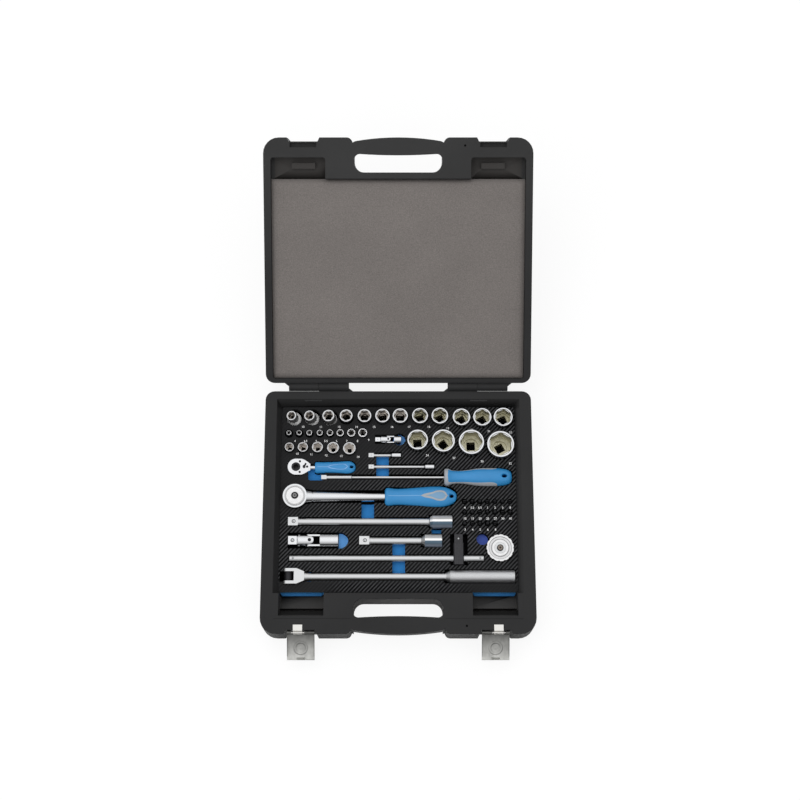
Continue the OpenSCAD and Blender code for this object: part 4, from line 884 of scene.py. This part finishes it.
def grip_piece(node, x0, y0, points, flat, hole, mat):
    """A grip swept along X, with a countersunk hanging hole; the hole is (distance along the grip,
    radius, stretch along x)."""
    profile = smooth_profile(points)
    body = lofted(node + " body", [grip_section(x0 + d, y0, r, flat) for d, r in profile])
    at, radius, stretch = hole
    half = flat * min((abs(d - at), r) for d, r in profile)[1]
    wide = radius + 1.9
    levels = [(-half - 1.5, wide), (-half + 0.9, radius), (half - 0.9, radius), (half + 1.5, wide)]
    cutter = lofted("cutter", [[(x * MM, y * MM, AXIS_Z + z * MM)
                                for x, y in circle(x0 + at, y0, r, HOLE_SIDES, stretch)] for z, r in levels])
    raw, tool = placed("raw", body), placed("tool", cutter)
    cut = raw.modifiers.new("hole", "BOOLEAN")
    cut.operation, cut.object, cut.solver = "DIFFERENCE", tool, "EXACT"
    mesh = result_of(raw)
    for ob in (raw, tool):
        bpy.data.objects.remove(ob)
    mesh.shade_smooth()
    mesh.set_sharp_from_angle(angle=math.radians(42))
    mesh.materials.clear()
    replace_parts(new_piece(node + "_moulded", mesh, node, [mat]), node)


HALF_AT, HALF_L = (-20.4, 23.2), 109.6
leaf = [(0, 0), (53, 0), (60, 2.6), (72, 5.2), (83, 8.2), (88, 7.8), (93, 4.6), (97, 0), (HALF_L, 0)]
core = [(0, 0), (62, 0), (72, 2.4), (84, 5.4), (90, 3.6), (94, 0), (HALF_L, 0)]
HALF_GRIP = two_colour_grip("half-inch ratchet grip", *HALF_AT, HALF_L,
                            [(leaf, GREY_RGB, False), (core, (0.14, 0.27, 0.42), False)], (0.04, 0.50))
grip_piece("ratchet_half_grip", *HALF_AT,
           [(0, 10.4), (1.4, 12.9), (4.2, 14.0), (9, 13.8), (15, 12.8), (24, 12.7), (34, 13.3), (50, 14.5), (66, 15.8),
            (78, 16.2), (87, 15.8), (95, 14.0), (102, 11.0), (107, 7.6), (109.2, 4.2)], 0.78, (101.6, 2.9, 1.15),
           HALF_GRIP)

QUARTER_AT, QUARTER_L = (-127.7, 69.5), 62.4
rim = [(0, 0), (17, 0), (24, 2.6), (38, 4.4), (46, 4.2), (52, 0), (QUARTER_L, 0)]
inner = [(0, 0), (20, 0), (26, 1.7), (38, 3.5), (45, 3.2), (50, 0), (QUARTER_L, 0)]
QUARTER_GRIP = two_colour_grip("quarter-inch ratchet grip", *QUARTER_AT, QUARTER_L,
                               [(rim, (0.16, 0.34, 0.62), False), (inner, BLUE_RGB, False)], (0.05, 0.30))
grip_piece("ratchet_quarter_grip", *QUARTER_AT,
           [(0, 7.0), (1, 8.2), (3, 8.7), (12, 8.5), (24, 8.7), (38, 9.3), (47, 10.0), (53, 9.8), (58, 8.0),
            (61, 5.2), (62.2, 3.0)], 0.78, (56.4, 2.3, 1.25), QUARTER_GRIP)

SPINNER_AT, SPINNER_L = (70.2, 54), 103.8
waist = [(0, 0), (5.0, 0), (6.4, 9.4), (12, 9.0), (22, 8.6), (34, 9.0), (48, 10.2), (60, 10.4), (72, 10.2), (80, 12.0),
         (84, 20), (96, 20), (SPINNER_L, 20)]
SPINNER_GRIP = two_colour_grip("spinner grip", *SPINNER_AT, SPINNER_L, [(waist, GREY_RGB, True)])
grip_piece("spinner_grip", *SPINNER_AT,
           [(0, 11.6), (1.2, 13.0), (3.6, 13.8), (7, 13.2), (12, 11.2), (19, 10.2), (28, 10.5), (38, 11.8), (50, 13.6),
            (64, 14.4), (78, 14.3), (88, 13.5), (96, 12.0), (101, 9.4), (103.4, 6.0)], 1.0, (91.8, 2.9, 1.4),
           SPINNER_GRIP)

# ---------------------------------------------------------------- printed sizes, placed in millimetres

LABELS = [("10", -147.2, 133.4), ("11", -119.4, 133.4), ("13", -91.6, 133.4), ("14", -64.6, 133.4),
          ("15", -37.5, 133.4), ("16", -9.7, 133.4), ("17", 16.6, 133.4), ("18", 47.0, 133.4),
          ("19", 76.3, 131.1), ("20", 113.5, 128.6), ("21", 139.9, 126.5), ("22", 173.3, 124.7),
          ("24", 44.6, 87.9), ("27", 85.6, 83.8), ("30", 128.5, 78.5), ("32", 171.7, 75.2),
          ("4", -159.1, 110.8), ("4.5", -142.9, 110.8), ("5", -126.3, 110.8), ("5.5", -111.5, 110.8),
          ("6", -95.0, 110.8), ("7", -79.5, 110.8), ("8", -62.8, 110.8), ("9", -45.5, 112.5),
          ("10", -155.3, 90.6), ("11", -133.6, 89.5), ("12", -110.9, 88.0), ("13", -87.7, 86.9),
          ("14", -61.8, 85.5)]
BIT_LABELS = [(5.7, ["4", "5.5", "6.5", "1", "2", "3", "8"]), (-11.1, ["10", "15", "20", "25", "27", "30", "40"]),
              (-28.2, ["3", "4", "5", "6", "8"])]
BIT_LABEL_X, BIT_PITCH = 101.2, 11.5
for y, texts in BIT_LABELS:
    LABELS += [(text, BIT_LABEL_X + BIT_PITCH * i, y) for i, text in enumerate(texts)]

LETTER_H, LETTER_FAT = 4.6, 0.06
LETTER_Z = TRAY_Z + 0.00006


def printed_labels():
    """The sizes printed on the tray, as one thin mesh on its top face."""
    bm = bmesh.new()
    for text, x, y in LABELS:
        curve = bpy.data.curves.new("label", "FONT")
        curve.body, curve.size, curve.align_x, curve.align_y = text, LETTER_H, "CENTER", "CENTER"
        curve.resolution_u, curve.offset = 4, LETTER_FAT
        ob = placed("label", curve)
        mesh = result_of(ob)
        mesh.transform(Matrix.Translation((x * MM, y * MM, LETTER_Z)) @ Matrix.Scale(MM, 4))
        bm.from_mesh(mesh)
        bpy.data.objects.remove(ob)
    new_piece("printed_sizes", as_mesh(bm, "printed sizes"), "tray_top", [WHITE])


printed_labels()

# ---------------------------------------------------------------- small marks on the case

GATE_AT, GATE_R = (101.5, -175.4), 1.6
RIB_X, RIB_YZ, RIB_TURN, RIB_SIZE = (-131.5, 124), (173.3, 49.4), math.radians(-39.7), (26, 0.6, 2.2)


def gate_mark(part, z, turn, faces_down):
    """The round mark that a mould's gate leaves on the rim of the base or the lid."""
    bm = bmesh.new()
    disc = bm.faces.new([bm.verts.new((x * MM, y * MM, z)) for x, y in circle(*GATE_AT, GATE_R, 20)])
    if faces_down:
        disc.normal_flip()
    mesh = as_mesh(bm, "gate mark")
    mesh.transform(turn)
    new_piece("gate_mark_" + part, mesh, "case_" + part, [GATE])


def back_ribs():
    """The two short ribs inside the base's back wall."""
    bm = bmesh.new()
    for x in RIB_X:
        turn = Matrix.Translation([v * MM for v in (x, *RIB_YZ)]) @ Matrix.Rotation(RIB_TURN, 4, "X")
        bmesh.ops.create_cube(bm, size=1.0, matrix=turn @ Matrix.Diagonal((*(side * MM for side in RIB_SIZE), 1)))
    new_piece("back_ribs", as_mesh(bm, "back ribs"), "case_base", [MARK])


gate_mark("base", BASE_H + 0.00004, Matrix.Identity(4), False)
gate_mark("lid", BASE_H + 0.00026, OPEN_LID, True)
back_ribs()

# ---------------------------------------------------------------- lid pad


def lid_pad():
    """The foam pad: a slab with softened edges, a beveled front and a gently uneven face."""
    half_w, front_y, back_y = 193.7, -125.2, 180.2
    face_z, roof_z = 58.3, 86.9
    bevel, bevel_slope = 5.2, 0.95
    columns, rows = 96, 78
    bm = bmesh.new()
    grid = {}
    for i in range(columns + 1):
        for j in range(rows + 1):
            x = -half_w + 2 * half_w * i / columns
            y = front_y + (back_y - front_y) * j / rows
            in_from_edge, in_from_front = min(half_w - abs(x), back_y - y), y - front_y
            edge_drop = 2.2 * math.exp(-in_from_edge / 2.4)
            front_drop = max(0.0, bevel - in_from_front) * bevel_slope + 1.2 * math.exp(-in_from_front / 3)
            swell = 0.45 * noise.noise(Vector((x, y, 3)) * 0.02) + 0.25 * noise.noise(Vector((x, y, 9)) * 0.07)
            z = face_z + max(edge_drop, front_drop) + 0.5 + swell
            grid[i, j] = bm.verts.new((x * MM, y * MM, z * MM))
    for i in range(columns):
        for j in range(rows):
            bm.faces.new((grid[i, j], grid[i, j + 1], grid[i + 1, j + 1], grid[i + 1, j]))
    face_rim = ([grid[i, 0] for i in range(columns + 1)] + [grid[columns, j] for j in range(1, rows + 1)]
                + [grid[i, rows] for i in range(columns - 1, -1, -1)] + [grid[0, j] for j in range(rows - 1, 0, -1)])
    back_rim = [bm.verts.new((v.co.x, v.co.y, roof_z * MM)) for v in face_rim]
    skin(bm, [face_rim, back_rim])
    bm.faces.new(back_rim)
    mesh = as_mesh(bm, "lid pad", outward=True)
    mesh.transform(OPEN_LID)
    mesh.shade_smooth()
    mesh.set_sharp_from_angle(angle=math.radians(50))
    pad = new_piece("lid_pad", mesh, "lid_foam", [FELT])
    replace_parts(pad, "lid_foam")


lid_pad()
